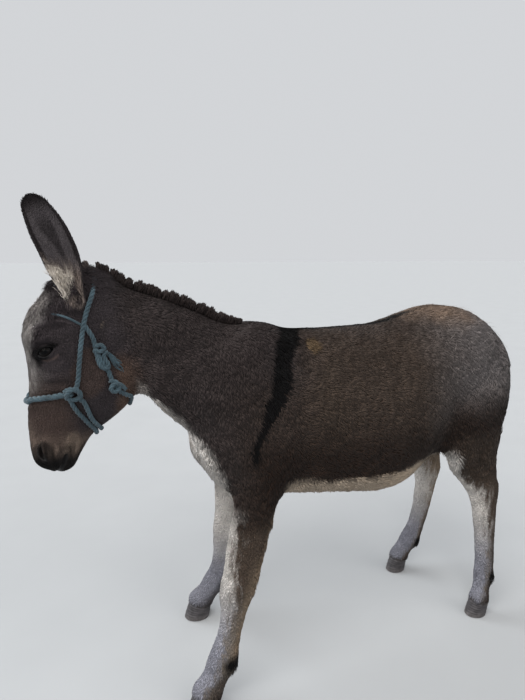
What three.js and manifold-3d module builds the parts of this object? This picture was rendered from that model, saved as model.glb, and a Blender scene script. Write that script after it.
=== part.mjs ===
// A standing donkey in a rope halter, life size, as a still museum model.
// Millimetres. The donkey faces -X, its left side is towards -Y and +Z is up.
// The flesh is one smooth body, described as a distance field: lofted torso, neck and head, swept limbs
// and a few rounded muscles, all blended. The field is meshed region by region and parted with thin cuts.
import * as THREE from "three";
import Module from "manifold-3d";
import { mergeVertices } from "three/addons/utils/BufferGeometryUtils.js";

const wasm = await Module();
wasm.setup();

// ---------------------------------------------------------------- driving dimensions
const GAP = 0.3; // between two neighbouring pieces
const EYE_RADIUS = 19;
const EYE = [-549, 79, 1089]; // centre of the right eyeball
const ROPE_RADIUS = 6.5;
const ROPE_LIFT = ROPE_RADIUS + 4.5; // rope centreline above the coat
const MANE_HALF_WIDTH = 15;

// Mesh size on each region of the body, and how far a mesh may stray when flat stretches are merged.
const CELL = { trunk: 54, neck: 46, head: 22, leg: 33, foot: 25 };
const STRAY = { large: 3, small: 1.3, trim: 0.05 };

// Sections of the three lofts, cut in the animal's middle plane. Each is a pair of outline points, upper
// [x, z] and lower [x, z], then the half width, and where it is widest as a share of the way up.
const TORSO = [
  [[-118, 800], [-106, 710], 40, 0.5], // breast
  [[-88, 930], [-88, 650], 108, 0.5],
  [[-30, 1060], [-40, 606], 142, 0.5],
  [[50, 1108], [40, 580], 164, 0.46], // withers to sternum
  [[140, 1104], [135, 566], 186, 0.45],
  [[250, 1097], [250, 550], 207, 0.45],
  [[370, 1096], [370, 531], 221, 0.46], // ribs
  [[480, 1100], [480, 518], 223, 0.47], // deepest belly
  [[580, 1124], [575, 532], 213, 0.5],
  [[665, 1147], [660, 576], 196, 0.55], // loins to flank
  [[745, 1155], [735, 650], 180, 0.6], // top of the croup
  [[825, 1144], [820, 700], 166, 0.6],
  [[905, 1110], [895, 720], 144, 0.58],
  [[972, 1058], [960, 745], 112, 0.55], // tail root
  [[1020, 992], [1010, 780], 74, 0.5],
  [[1046, 920], [1040, 840], 32, 0.5],
];
const NECK = [
  [[50, 1100], [-94, 688], 128, 0.45],
  [[-30, 1118], [-116, 738], 122, 0.42],
  [[-110, 1158], [-152, 790], 108, 0.42],
  [[-200, 1197], [-211, 849], 94, 0.42],
  [[-290, 1231], [-268, 904], 84, 0.42],
  [[-360, 1258], [-312, 960], 80, 0.45],
  [[-420, 1277], [-352, 1010], 74, 0.5], // poll to throat
];
const HEAD = [
  [[-385, 1284], [-318, 1092], 60, 0.5],
  [[-455, 1287], [-308, 1056], 82, 0.55], // poll
  [[-535, 1240], [-304, 1018], 93, 0.6], // root of the ears
  [[-587, 1172], [-308, 980], 99, 0.66], // brow
  [[-600, 1105], [-322, 944], 98, 0.62], // eyes
  [[-598, 1030], [-348, 908], 84, 0.5],
  [[-601, 970], [-384, 876], 69, 0.48],
  [[-608, 912], [-424, 850], 60, 0.5],
  [[-611, 862], [-450, 828], 58, 0.52],
  [[-607, 815], [-467, 800], 60, 0.55], // nostrils
  [[-592, 776], [-487, 772], 54, 0.55],
  [[-568, 750], [-504, 748], 38, 0.5], // lips
  [[-549, 741], [-516, 740], 17, 0.5],
];

// Legs, from the trunk down: [x, y, z, half depth, half width]. The left ones stand nearer the viewer's side.
const FORE_LEFT = [
  [34, -122, 760, 96, 56],
  [13, -136, 655, 70, 52],
  [-18, -146, 565, 65, 46],
  [-40, -151, 480, 60, 42],
  [-60, -156, 400, 55, 42],
  [-76, -160, 343, 54, 43], // knee
  [-86, -164, 285, 42, 35],
  [-100, -170, 225, 37, 31],
  [-118, -176, 170, 42, 34],
  [-131, -180, 138, 45, 38], // fetlock
  [-156, -185, 94, 38, 35],
  [-180, -190, 58, 47, 43], // coronet
  [-190, -192, 30, 47, 43],
];
const FORE_RIGHT = [
  [34, 122, 760, 96, 56],
  [22, 134, 655, 70, 52],
  [16, 144, 565, 60, 46],
  [13, 156, 480, 52, 42],
  [8, 166, 400, 47, 41],
  [6, 173, 343, 50, 43],
  [0, 181, 285, 41, 35],
  [-5, 191, 225, 37, 31],
  [-17, 203, 170, 41, 34],
  [-28, 211, 138, 44, 38],
  [-56, 219, 94, 38, 35],
  [-80, 226, 58, 47, 43],
  [-90, 228, 30, 47, 43],
];
const HIND_LEFT = [
  [877, -112, 840, 114, 71],
  [842, -120, 735, 113, 69],
  [847, -122, 644, 111, 60],
  [871, -121, 571, 92, 50],
  [898, -120, 508, 71, 43],
  [920, -120, 444, 57, 39], // hock
  [925, -124, 385, 52, 35],
  [925, -133, 309, 43, 30],
  [921, -147, 200, 39, 29],
  [914, -153, 140, 38, 32],
  [902, -160, 90, 32, 29],
  [889, -166, 58, 40, 36],
  [882, -168, 30, 40, 36],
];
const HIND_RIGHT = [
  [868, 112, 840, 113, 70],
  [822, 120, 735, 115, 69],
  [812, 121, 644, 102, 60],
  [828, 120, 571, 82, 50],
  [843, 118, 508, 64, 42],
  [852, 119, 444, 52, 38],
  [850, 122, 385, 44, 34],
  [846, 130, 309, 38, 31],
  [838, 148, 215, 36, 30],
  [820, 160, 150, 40, 34],
  [798, 174, 98, 35, 31],
  [784, 184, 58, 40, 36],
  [776, 187, 30, 40, 36],
];

// Muscles and bony points on both sides: centre, radii, tilt in degrees about Y, and how softly it blends.
const MUSCLES = [
  { at: [-10, 84, 930], r: [92, 66, 190], tilt: -24, blend: 90 }, // shoulder blade
  { at: [-74, 80, 748], r: [64, 66, 94], tilt: -10, blend: 50 }, // point of the shoulder
  { at: [30, 108, 730], r: [92, 62, 100], tilt: 20, blend: 70 }, // triceps and elbow
  { at: [765, 94, 985], r: [155, 96, 130], tilt: 12, blend: 60 }, // croup
  { at: [902, 90, 865], r: [102, 78, 168], tilt: -12, blend: 55 }, // thigh
  { at: [956, 64, 860], r: [60, 54, 92], tilt: 6, blend: 40 }, // buttock
  { at: [766, 120, 735], r: [64, 56, 98], tilt: 22, blend: 50 }, // stifle
  { at: [-556, 68, 1124], r: [34, 28, 24], tilt: 0, blend: 26 }, // brow over the eye
  { at: [-420, 56, 985], r: [72, 40, 92], tilt: 30, blend: 30 }, // cheek
  { at: [-572, 38, 800], r: [30, 28, 34], tilt: 10, blend: 20 }, // nostril
  { at: [-513, 22, 768], r: [20, 24, 22], tilt: 0, blend: 16 }, // lower lip
  { at: [-458, 54, 1216], r: [34, 26, 30], tilt: 20, blend: 24 }, // root of the ear
];
const HOCK_POINT = { r: [24, 17, 34], back: 44, up: 26, blend: 26 };

// Where the body is parted, in the side view.
const NECK_CUT = [[62, 1200], [-150, 640]];
const POLL_CUT = [[-405, 1340], [-318, 930]];
const MUZZLE_CUT = [[-640, 868], [-420, 836]];
const FORE_CUT = [[-230, 664], [100, 664], [74, 560], [80, -40], [-300, -40]];
const HIND_CUT = [[724, 706], [1140, 706], [1140, -40], [640, -40], [640, 470], [722, 600]];
const FORE_INSIDE = 62;
const SHOULDER_CUT = [[100, 1300], [100, 400]];
const CROUP_CUT = [[672, 1300], [672, 400]];

const EAR = {
  base: [-464, 70, 1206],
  tip: [-563, 84, 1471],
  facing: [-0.35, 0.9, 0.1],
  rings: 10,
  wall: 9,
  bend: 12, // how far its middle stands behind the line from base to tip
  halfWidth: [[0, 24], [0.13, 29], [0.3, 41], [0.45, 46], [0.62, 46], [0.8, 43], [0.92, 33], [1, 13]],
  curl: [[0, 1.2], [0.2, 1], [0.45, 0.7], [0.7, 0.55], [1, 0.4]],
};
const MANE = { from: 0.1, to: 0.93, rings: 26, height: [23, 33] };
const MANE_RAGGED = 4;
const FORELOCK = { from: 0.22, to: 0.5, rings: 6, height: [24, 28] };

// Tail: [x, y, z, radius].
const TAIL_DOCK = [
  [985, 0, 1016, 28],
  [1026, 0, 990, 30],
  [1056, 0, 940, 28],
  [1073, 0, 860, 25],
  [1077, 0, 770, 24],
  [1075, 0, 700, 25],
];
const TAIL_SWITCH = [
  [1075, 0, 699.6, 25],
  [1074, 0, 640, 30],
  [1072, 0, 570, 31],
  [1069, 0, 500, 25],
  [1067, 0, 452, 11],
];

// Hoof levels: share of the height, half length, half width, and how far it stands ahead of the coronet.
const HOOF = {
  around: 14,
  toeHeight: 62,
  heelHeight: 38,
  topLength: 42,
  levels: [[0, 46, 37, 13], [0.06, 48, 39, 13], [0.55, 45, 38, 6], [1, 41, 37, 0]],
  hindScale: 0.86,
};

// The halter's routes in the side view, laid on both sides of the head, with their middle points.
const NOSEBAND_RADIUS = 8;
const BROWBAND_RADIUS = 3.5;
const BROWBAND_LIFT = 4.5;
const KNOT_LIFT = ROPE_LIFT + 1;
const HEADSTALL = [
  [-419, 1272],
  [-424, 1252],
  [-432, 1226],
  [-444, 1196],
  [-456, 1158],
  [-466, 1112],
  [-473, 1064],
  [-478, 1015],
  [-484, 986],
];
const HEADSTALL_MIDDLE = [[-416, 26, 1292], [-415, 0, 1297], [-416, -26, 1292]];
const NOSEBAND = [[-590, 954], [-570, 961], [-540, 968], [-513, 975], [-492, 978]];
const NOSEBAND_MIDDLE = [[-606, 24, 948], [-611, 0, 947], [-606, -24, 948]];
const BROWBAND = [[-528, 1181], [-512, 1178], [-492, 1171], [-470, 1158]];
const THROAT = [[-352, 946], [-371, 962], [-385, 981], [-400, 1006], [-411, 1037], [-424, 1080], [-440, 1120], [-456, 1150]];
const THROAT_MIDDLE = [[-334, 30, 912], [-326, 0, 902], [-334, -30, 912]];
const CHIN_FRONT = [[-437, 860], [-450, 878], [-468, 908], [-484, 929], [-492, 946], [-495, 968]];
const CHIN_FRONT_MIDDLE = [[-432, 22, 843], [-430, 0, 838], [-432, -22, 843]];
const CHIN_REAR = [[-415, 862], [-436, 884], [-452, 908], [-462, 930], [-466, 950], [-478, 968]];
const CHIN_REAR_MIDDLE = [[-406, 22, 848], [-404, 0, 843], [-406, -22, 848]];
const SIDE_KNOT = [[-497, 964], [-502, 980], [-488, 994], [-472, 984], [-480, 970], [-494, 982]];
const THROAT_KNOT = [
  [-374, 1062],
  [-392, 1058],
  [-410, 1054],
  [-428, 1046],
  [-436, 1066],
  [-430, 1088],
  [-417, 1098],
  [-404, 1082],
  [-412, 1062],
];

// ---------------------------------------------------------------- distance fields
const clamp = (v, lo, hi) => Math.min(hi, Math.max(lo, v));

function blendMin(a, b, k) {
  const h = Math.max(k - Math.abs(a - b), 0) / k;
  return Math.min(a, b) - (h * h * k) / 4;
}

// Distance to an ellipse from its centre outward: u, v are offsets, a and b the half axes on those sides.
function ellipseDistance(u, v, a, b) {
  const q = Math.hypot(u, v);
  const k = Math.hypot(u / a, v / b);
  return k < 1e-6 ? -Math.min(a, b) : q * (1 - 1 / k);
}

// Joins the distance to a side wall with the distance past an end.
const capped = (side, end) => (side > 0 && end > 0 ? Math.hypot(side, end) : Math.max(side, end));

// A body swept through sections that stand in the middle plane.
function loft(sections, steps = 6) {
  const count = (sections.length - 1) * steps;
  const upper = new THREE.CatmullRomCurve3(sections.map(([u, , w]) => new THREE.Vector3(u[0], w, u[1])));
  const lower = new THREE.CatmullRomCurve3(sections.map(([, l, , s]) => new THREE.Vector3(l[0], s * 100, l[1])));
  const slices = [];
  for (let i = 0; i <= count; i++) {
    const a = upper.getPoint(i / count);
    const b = lower.getPoint(i / count);
    const height = Math.hypot(a.x - b.x, a.z - b.z);
    slices.push({ x: b.x, z: b.z, ux: (a.x - b.x) / height, uz: (a.z - b.z) / height, height, half: a.y, at: b.y / 100 });
  }
  const across = (s, x, z) => (x - s.x) * s.uz - (z - s.z) * s.ux; // signed distance from the slice's plane
  const along = (s, x, z) => (x - s.x) * s.ux + (z - s.z) * s.uz;
  const forward = Math.sign(across(slices[0], slices[count].x, slices[count].z));
  return ([x, y, z]) => {
    let best = 0;
    let least = Infinity;
    slices.forEach((s, i) => {
      const up = clamp(along(s, x, z), 0, s.height);
      const d = Math.hypot(x - s.x - s.ux * up, z - s.z - s.uz * up);
      if (d < least) [least, best] = [d, i];
    });
    let here = forward * across(slices[best], x, z);
    const next = clamp(best + (here > 0 ? 1 : -1), 0, count);
    const there = forward * across(slices[next], x, z);
    const t = next === best ? 0 : clamp(here / (here - there || 1), 0, 1);
    const mix = (key) => slices[best][key] * (1 - t) + slices[next][key] * t;
    const up = along(slices[best], x, z) * (1 - t) + along(slices[next], x, z) * t;
    const height = mix("height");
    const at = mix("at") * height;
    const rise = up - at;
    const side = ellipseDistance(y, rise, mix("half"), rise > 0 ? height - at : at);
    if (best <= steps) return capped(side, -forward * across(slices[0], x, z));
    if (best >= count - steps) return capped(side, forward * across(slices[count], x, z));
    return side;
  };
}

// A limb swept along a line, with an elliptical section that faces the way the animal does.
function limb(stations, steps = 5) {
  const count = (stations.length - 1) * steps;
  const line = new THREE.CatmullRomCurve3(stations.map(([x, y, z]) => new THREE.Vector3(x, y, z)));
  const sizes = new THREE.CatmullRomCurve3(stations.map(([, , z, d, w]) => new THREE.Vector3(d, w, z)));
  const points = line.getPoints(count);
  const radii = sizes.getPoints(count);
  const offset = new THREE.Vector3();
  const step = new THREE.Vector3();
  return ([x, y, z]) => {
    let least = Infinity;
    let found = 0;
    let share = 0;
    for (let i = 0; i < count; i++) {
      step.subVectors(points[i + 1], points[i]);
      offset.set(x, y, z).sub(points[i]);
      const t = clamp(offset.dot(step) / step.lengthSq(), 0, 1);
      const d = offset.addScaledVector(step, -t).lengthSq();
      if (d < least) [least, found, share] = [d, i, t];
    }
    step.subVectors(points[found + 1], points[found]).normalize();
    offset.set(x, y, z).sub(points[found].clone().lerp(points[found + 1], share));
    const past = offset.dot(step);
    offset.addScaledVector(step, -past);
    const depth = radii[found].x * (1 - share) + radii[found + 1].x * share;
    const width = radii[found].y * (1 - share) + radii[found + 1].y * share;
    const side = ellipseDistance(Math.hypot(offset.x, offset.z), offset.y, depth, width);
    const beyond = (found === 0 && share === 0) || (found === count - 1 && share === 1);
    const here = new THREE.Vector3(x, y, z);
    const inset = Math.min(points[0].distanceTo(here), points[count].distanceTo(here));
    return capped(side, beyond ? Math.abs(past) : -inset);
  };
}

function ellipsoid({ at, r, tilt = 0 }) {
  const c = Math.cos(THREE.MathUtils.degToRad(tilt));
  const s = Math.sin(THREE.MathUtils.degToRad(tilt));
  return ([x, y, z]) => {
    const dx = x - at[0];
    const dz = z - at[2];
    const p = [dx * c + dz * s, y - at[1], dz * c - dx * s];
    const k0 = Math.hypot(p[0] / r[0], p[1] / r[1], p[2] / r[2]);
    const k1 = Math.hypot(p[0] / r[0] ** 2, p[1] / r[1] ** 2, p[2] / r[2] ** 2);
    return k1 < 1e-9 ? -Math.min(...r) : (k0 * (k0 - 1)) / k1;
  };
}

const torso = loft(TORSO);
const neck = loft(NECK);
const head = loft(HEAD);
const muscles = MUSCLES.map((m) => ({ field: ellipsoid(m), blend: m.blend, at: m.at, reach: Math.max(...m.r) + 80 }));
const LEGS = {
  fore_left: FORE_LEFT,
  fore_right: FORE_RIGHT,
  hind_left: HIND_LEFT,
  hind_right: HIND_RIGHT,
};
const limbs = Object.entries(LEGS).map(([name, stations]) => ({ side: Math.sign(stations[0][1]), field: limb(stations), name }));
const hocks = [HIND_LEFT[5], HIND_RIGHT[5]].map(([x, y, z]) =>
  ellipsoid({ at: [x + HOCK_POINT.back, y, z + HOCK_POINT.up], r: HOCK_POINT.r, tilt: -14 }),
);

// The whole coat surface: negative inside.
function flesh(p) {
  const [x, y, z] = p;
  const mirrored = [x, Math.abs(y), z];
  let d = blendMin(torso(p), neck(p), 70);
  d = blendMin(d, head(p), 36);
  for (const m of muscles) {
    if (Math.hypot(x - m.at[0], mirrored[1] - m.at[1], z - m.at[2]) < m.reach + m.blend) {
      d = blendMin(d, m.field(mirrored), m.blend);
    }
  }
  if (z < 930) {
    for (const l of limbs) {
      if (l.side * y > -60) d = blendMin(d, l.field(p), 55);
    }
    for (const hock of hocks) d = blendMin(d, hock(p), HOCK_POINT.blend);
  }
  return d;
}

function gradient(field, p, e = 0.5) {
  return [0, 1, 2].map((k) => {
    const a = [...p];
    const b = [...p];
    a[k] += e;
    b[k] -= e;
    return (field(a) - field(b)) / (2 * e);
  });
}

// Moves a point onto the field's zero surface.
function settle(field, p, rounds = 4) {
  let q = [...p];
  for (let i = 0; i < rounds; i++) {
    const g = gradient(field, q);
    const d = clamp(field(q), -12, 12) / Math.max(0.2, g[0] ** 2 + g[1] ** 2 + g[2] ** 2);
    q = q.map((v, k) => v - g[k] * d);
  }
  return q;
}

// ---------------------------------------------------------------- meshes and solids
// Surface nets: one vertex in each cell that the surface crosses, one quad across each crossed edge.
function polygonise(field, lo, hi, cell) {
  const n = [0, 1, 2].map((k) => Math.ceil((hi[k] - lo[k]) / cell) + 1);
  const at = (i, j, k) => (i * n[1] + j) * n[2] + k;
  const place = (i, j, k) => [lo[0] + i * cell, lo[1] + j * cell, lo[2] + k * cell];
  const values = new Float64Array(n[0] * n[1] * n[2]);
  const edge = (i, j, k) => [i, j, k].some((v, axis) => v === 0 || v === n[axis] - 1);
  for (let i = 0; i < n[0]; i++)
    for (let j = 0; j < n[1]; j++)
      for (let k = 0; k < n[2]; k++) {
        const v = field(place(i, j, k));
        values[at(i, j, k)] = edge(i, j, k) ? Math.max(v, cell * 0.02) : v;
      }
  const corners = [0, 1].flatMap((a) => [0, 1].flatMap((b) => [0, 1].map((c) => [a, b, c])));
  const vertexOf = new Map();
  const positions = [];
  for (let i = 0; i < n[0] - 1; i++)
    for (let j = 0; j < n[1] - 1; j++)
      for (let k = 0; k < n[2] - 1; k++) {
        const sum = [0, 0, 0];
        let hits = 0;
        corners.forEach((a, m) => {
          for (const b of corners.slice(m + 1)) {
            if (Math.abs(a[0] - b[0]) + Math.abs(a[1] - b[1]) + Math.abs(a[2] - b[2]) !== 1) continue;
            const va = values[at(i + a[0], j + a[1], k + a[2])];
            const vb = values[at(i + b[0], j + b[1], k + b[2])];
            if (va < 0 === vb < 0) continue;
            const t = va / (va - vb);
            a.forEach((v, axis) => (sum[axis] += v + (b[axis] - v) * t));
            hits++;
          }
        });
        if (!hits) continue;
        const p = place(i, j, k).map((v, axis) => v + (sum[axis] / hits) * cell);
        vertexOf.set(at(i, j, k), positions.length / 3);
        const onEdge = edge(i, j, k) || edge(i + 1, j + 1, k + 1);
        positions.push(...(onEdge ? p : settle(field, p)));
      }
  const index = [];
  const far = (a, b) => Math.hypot(...[0, 1, 2].map((k) => positions[3 * a + k] - positions[3 * b + k]));
  for (let i = 0; i < n[0] - 1; i++)
    for (let j = 0; j < n[1] - 1; j++)
      for (let k = 0; k < n[2] - 1; k++) {
        const inside = values[at(i, j, k)] < 0;
        const steps = [[1, 0, 0], [0, 1, 0], [0, 0, 1]];
        steps.forEach((s, axis) => {
          if (values[at(i + s[0], j + s[1], k + s[2])] < 0 === inside) return;
          const u = steps[(axis + 1) % 3];
          const v = steps[(axis + 2) % 3];
          const quad = [[1, 1], [0, 1], [0, 0], [1, 0]].map(([a, b]) =>
            vertexOf.get(at(i - a * u[0] - b * v[0], j - a * u[1] - b * v[1], k - a * u[2] - b * v[2])),
          );
          if (!inside) quad.reverse();
          const [a, b, c, d] = quad;
          if (far(a, c) < far(b, d)) index.push(a, b, c, a, c, d);
          else index.push(b, c, d, b, d, a);
        });
      }
  return new THREE.BufferGeometry()
    .setAttribute("position", new THREE.Float32BufferAttribute(positions, 3))
    .setIndex(index);
}

function solid(geometry) {
  const bare = geometry.clone();
  bare.deleteAttribute("normal");
  bare.deleteAttribute("uv");
  const merged = mergeVertices(bare, 1e-3);
  return new wasm.Manifold(
    new wasm.Mesh({
      numProp: 3,
      vertProperties: new Float32Array(merged.attributes.position.array),
      triVerts: new Uint32Array(merged.index.array),
    }),
  );
}

// The part of the body inside a box, with its flat stretches merged.
const meshed = (lo, hi, cell, stray) => solid(polygonise(flesh, lo, hi, cell)).simplify(stray);

function geometryOf(manifold) {
  const mesh = manifold.getMesh();
  return new THREE.BufferGeometry()
    .setAttribute("position", new THREE.BufferAttribute(new Float32Array(mesh.vertProperties), 3))
    .setIndex(new THREE.BufferAttribute(new Uint32Array(mesh.triVerts), 1));
}

// A prism that stands across the animal: its outline in the side view, and its reach from y0 to y1.
function prism(outline, y0, y1) {
  const shape = new THREE.Shape(outline.map(([x, z]) => new THREE.Vector2(x, z)));
  const geometry = new THREE.ExtrudeGeometry(shape, { depth: y1 - y0, bevelEnabled: false });
  return solid(geometry.rotateX(Math.PI / 2).translate(0, y1, 0));
}

// Keeps what lies on one side of the line from a to b in the side view, a little clear of it.
function keep(body, a, b, side) {
  const normal = new THREE.Vector3(-(b[1] - a[1]), 0, b[0] - a[0]).normalize().multiplyScalar(side);
  return body.trimByPlane(normal.toArray(), normal.dot(new THREE.Vector3(a[0], 0, a[1])) + GAP / 2);
}

// A closed skin over rings of points, with a fan at each end.
function loftRings(rings) {
  const count = rings[0].length;
  const middle = (ring) => ring.reduce((sum, p) => sum.add(p), new THREE.Vector3()).divideScalar(count);
  const points = [...rings.flat(), middle(rings[0]), middle(rings.at(-1))];
  const index = [];
  for (let r = 0; r < rings.length - 1; r++)
    for (let i = 0; i < count; i++) {
      const a = r * count + i;
      const b = r * count + ((i + 1) % count);
      index.push(a, b, b + count, a, b + count, a + count);
    }
  const first = rings.length * count;
  const last = (rings.length - 1) * count;
  for (let i = 0; i < count; i++) {
    const next = (i + 1) % count;
    index.push(first, next, i, first + 1, last + i, last + next);
  }
  return new THREE.BufferGeometry().setFromPoints(points).setIndex(index);
}

function facingOut(geometry) {
  if (solid(geometry).volume() > 0) return geometry;
  const index = geometry.index.array;
  for (let i = 0; i < index.length; i += 3) [index[i + 1], index[i + 2]] = [index[i + 2], index[i + 1]];
  return geometry;
}

// ---------------------------------------------------------------- the pieces
const coat = new THREE.MeshStandardMaterial({ name: "coat", color: 0x6b5c50, roughness: 0.95 });
const paleCoat = new THREE.MeshStandardMaterial({ name: "pale_coat", color: 0xb9ab9c, roughness: 0.95 });
const darkHair = new THREE.MeshStandardMaterial({ name: "dark_hair", color: 0x2a211d, roughness: 0.9 });
const horn = new THREE.MeshStandardMaterial({ name: "horn", color: 0x37302b, roughness: 0.6 });
const eyeball = new THREE.MeshStandardMaterial({ name: "eye", color: 0x140d09, roughness: 0.1 });
const cord = new THREE.MeshStandardMaterial({ name: "rope", color: 0x6fa3ad, roughness: 0.8 });

const donkey = new THREE.Group();
const groups = {};
for (const name of ["body", "head", "halter", ...Object.keys(LEGS)]) {
  groups[name] = new THREE.Group();
  groups[name].name = `${name}_group`;
  donkey.add(groups[name]);
}
groups.head.position.set(-420, 0, 1200);
groups.halter.position.set(-420, 0, 1200);

// Hangs a piece in its group, with its own origin at its middle.
function add(group, name, body, material) {
  const parts = body.simplify(STRAY.trim).decompose().sort((a, b) => b.volume() - a.volume());
  const geometry = geometryOf(parts[0]);
  geometry.computeBoundingSphere();
  const centre = geometry.boundingSphere.center.clone().round();
  const mesh = new THREE.Mesh(geometry.translate(-centre.x, -centre.y, -centre.z), material);
  mesh.name = name;
  mesh.position.copy(centre).sub(group.position);
  group.add(mesh);
  return parts[0];
}

// The same body with every face moved out, as a cutter that leaves a gap. Each corner moves along the
// mean of its faces' normals, and farther where those faces are steep to one another.
function grown(body, by = 2 * GAP) {
  const geometry = geometryOf(body);
  const { position } = geometry.attributes;
  const index = geometry.index.array;
  const corner = (i) => new THREE.Vector3().fromBufferAttribute(position, i);
  const normals = Array.from({ length: position.count }, () => []);
  for (let i = 0; i < index.length; i += 3) {
    const [a, b, c] = [index[i], index[i + 1], index[i + 2]];
    const normal = new THREE.Vector3();
    new THREE.Triangle(corner(a), corner(b), corner(c)).getNormal(normal);
    for (const k of [a, b, c]) normals[k].push(normal);
  }
  normals.forEach((around, i) => {
    const mean = around.reduce((sum, n) => sum.add(n), new THREE.Vector3()).normalize();
    const steepest = Math.min(...around.map((n) => n.dot(mean)));
    const moved = corner(i).addScaledVector(mean, by / Math.max(0.25, steepest));
    position.setXYZ(i, moved.x, moved.y, moved.z);
  });
  return solid(geometry);
}

const clearOf = (body, others) => others.reduce((rest, other) => rest.subtract(grown(other)), body);

function trunk() {
  let body = meshed([-264, -270, 432], [1180, 270, 1220], CELL.trunk, STRAY.large);
  body = keep(body, ...NECK_CUT, 1);
  body = body.subtract(prism(HIND_CUT, -400, 400));
  body = body.subtract(prism(FORE_CUT, FORE_INSIDE, 400)).subtract(prism(FORE_CUT, -400, -FORE_INSIDE));
  return body;
}

function neckPiece() {
  const body = meshed([-480, -250, 560], [160, 250, 1330], CELL.neck, STRAY.large);
  return keep(keep(body, ...NECK_CUT, -1), ...POLL_CUT, 1);
}

const eyes = [-1, 1].map((side) => ({ side, centre: [EYE[0], side * EYE[1], EYE[2]] }));
const ball = (centre, radius, across, up) =>
  solid(new THREE.SphereGeometry(radius, across, up).rotateX(Math.PI / 2).translate(...centre));

function headWhole() {
  let body = meshed([-640, -150, 700], [-260, 150, 1340], CELL.head, STRAY.small);
  body = keep(body, ...POLL_CUT, -1);
  for (const eye of eyes) body = body.subtract(ball(eye.centre, EYE_RADIUS + 2 * GAP, 14, 9));
  return body;
}

// The ear is a leaf that curls forward at its edges: wide above a narrow base, pointed at the tip.
function ear(side) {
  const base = new THREE.Vector3(EAR.base[0], side * EAR.base[1], EAR.base[2]);
  const tip = new THREE.Vector3(EAR.tip[0], side * EAR.tip[1], EAR.tip[2]);
  const axis = tip.clone().sub(base).normalize();
  const front = new THREE.Vector3(EAR.facing[0], side * EAR.facing[1], EAR.facing[2]);
  front.addScaledVector(axis, -front.dot(axis)).normalize();
  const across = new THREE.Vector3().crossVectors(axis, front);
  const widths = new THREE.SplineCurve(EAR.halfWidth.map(([t, w]) => new THREE.Vector2(t, w)));
  const curls = new THREE.SplineCurve(EAR.curl.map(([t, c]) => new THREE.Vector2(t, c)));
  const rings = [];
  for (let i = 0; i <= EAR.rings; i++) {
    const t = i / EAR.rings;
    const half = widths.getPoint(t).y;
    const depth = curls.getPoint(t).y * half;
    const wall = EAR.wall * (1 - 0.75 * t ** 3);
    const at = (a, inward) => {
      const swing = (a * Math.PI) / 2;
      return base
        .clone()
        .lerp(tip, t)
        .add(new THREE.Vector3(EAR.bend * Math.sin(t * Math.PI), 0, 0))
        .addScaledVector(across, Math.sin(swing) * (half - inward))
        .addScaledVector(front, depth * (0.45 - Math.cos(swing)) + inward * 1.1);
    };
    const outer = [-1, -0.66, -0.33, 0, 0.33, 0.66, 1].map((a) => at(a, 0));
    const inner = [0.85, 0.5, 0, -0.5, -0.85].map((a) => at(a, Math.min(wall, half * 0.5)));
    rings.push([...outer, ...inner]);
  }
  return solid(facingOut(loftRings(rings)));
}

// A ridge of upright hair along the crest, ragged at the top.
function hairRidge(crest, from, to, count, height) {
  const rings = [];
  for (let i = 0; i <= count; i++) {
    const t = from + ((to - from) * i) / count;
    const at = crest.getPoint(t);
    const along = crest.getTangent(t);
    const up = new THREE.Vector2(-along.y, along.x).multiplyScalar(Math.sign(along.x));
    const ends = Math.min(1, 0.25 + 6 * (t - from), 0.4 + 20 * (to - t));
    const full = THREE.MathUtils.lerp(...height, i / count);
    const rise = (full + MANE_RAGGED * Math.sin(i * 2.4) * Math.sin(i * 1.1)) * ends;
    const profile = [[-1, -14], [-0.9, rise * 0.45], [-0.45, rise], [0.45, rise], [0.9, rise * 0.45], [1, -14]];
    rings.push(
      profile.map(([y, h]) => new THREE.Vector3(at.x + up.x * h, y * MANE_HALF_WIDTH, at.y + up.y * h)),
    );
  }
  return solid(facingOut(loftRings(rings)));
}

// A round body along a line of [x, y, z, radius] stations.
function taper(stations, around = 8) {
  const rings = stations.map(([x, y, z, radius], i) => {
    const [a, b] = [stations[Math.max(0, i - 1)], stations[Math.min(stations.length - 1, i + 1)]];
    const along = new THREE.Vector3(b[0] - a[0], b[1] - a[1], b[2] - a[2]).normalize();
    const u = new THREE.Vector3(0, 1, 0).addScaledVector(along, -along.y).normalize();
    const v = new THREE.Vector3().crossVectors(along, u);
    return Array.from({ length: around }, (_, k) => {
      const angle = (k / around) * 2 * Math.PI;
      return new THREE.Vector3(x, y, z)
        .addScaledVector(u, Math.cos(angle) * radius)
        .addScaledVector(v, Math.sin(angle) * radius);
    });
  });
  return solid(facingOut(loftRings(rings)));
}

// A hoof: an egg-shaped sole that narrows to the coronet, higher at the toe than at the heel.
function hoof([x, y], scale) {
  const slope = (HOOF.toeHeight - HOOF.heelHeight) / (2 * HOOF.topLength);
  const rings = HOOF.levels.map(([share, length, width, ahead]) =>
    Array.from({ length: HOOF.around }, (_, k) => {
      const angle = (k / HOOF.around) * 2 * Math.PI;
      const blunt = 1 - 0.1 * Math.max(0, Math.cos(angle)) ** 2;
      const dx = Math.cos(angle) * length * blunt * scale;
      const top = (HOOF.toeHeight + HOOF.heelHeight) / 2 - dx * slope;
      return new THREE.Vector3(x - ahead + dx, y + Math.sin(angle) * width * scale, share * top);
    }),
  );
  return solid(facingOut(loftRings(rings)));
}

const coronetCut = ([x]) => [
  [x - HOOF.topLength, HOOF.toeHeight + GAP],
  [x + HOOF.topLength, HOOF.heelHeight + GAP],
];

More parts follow.
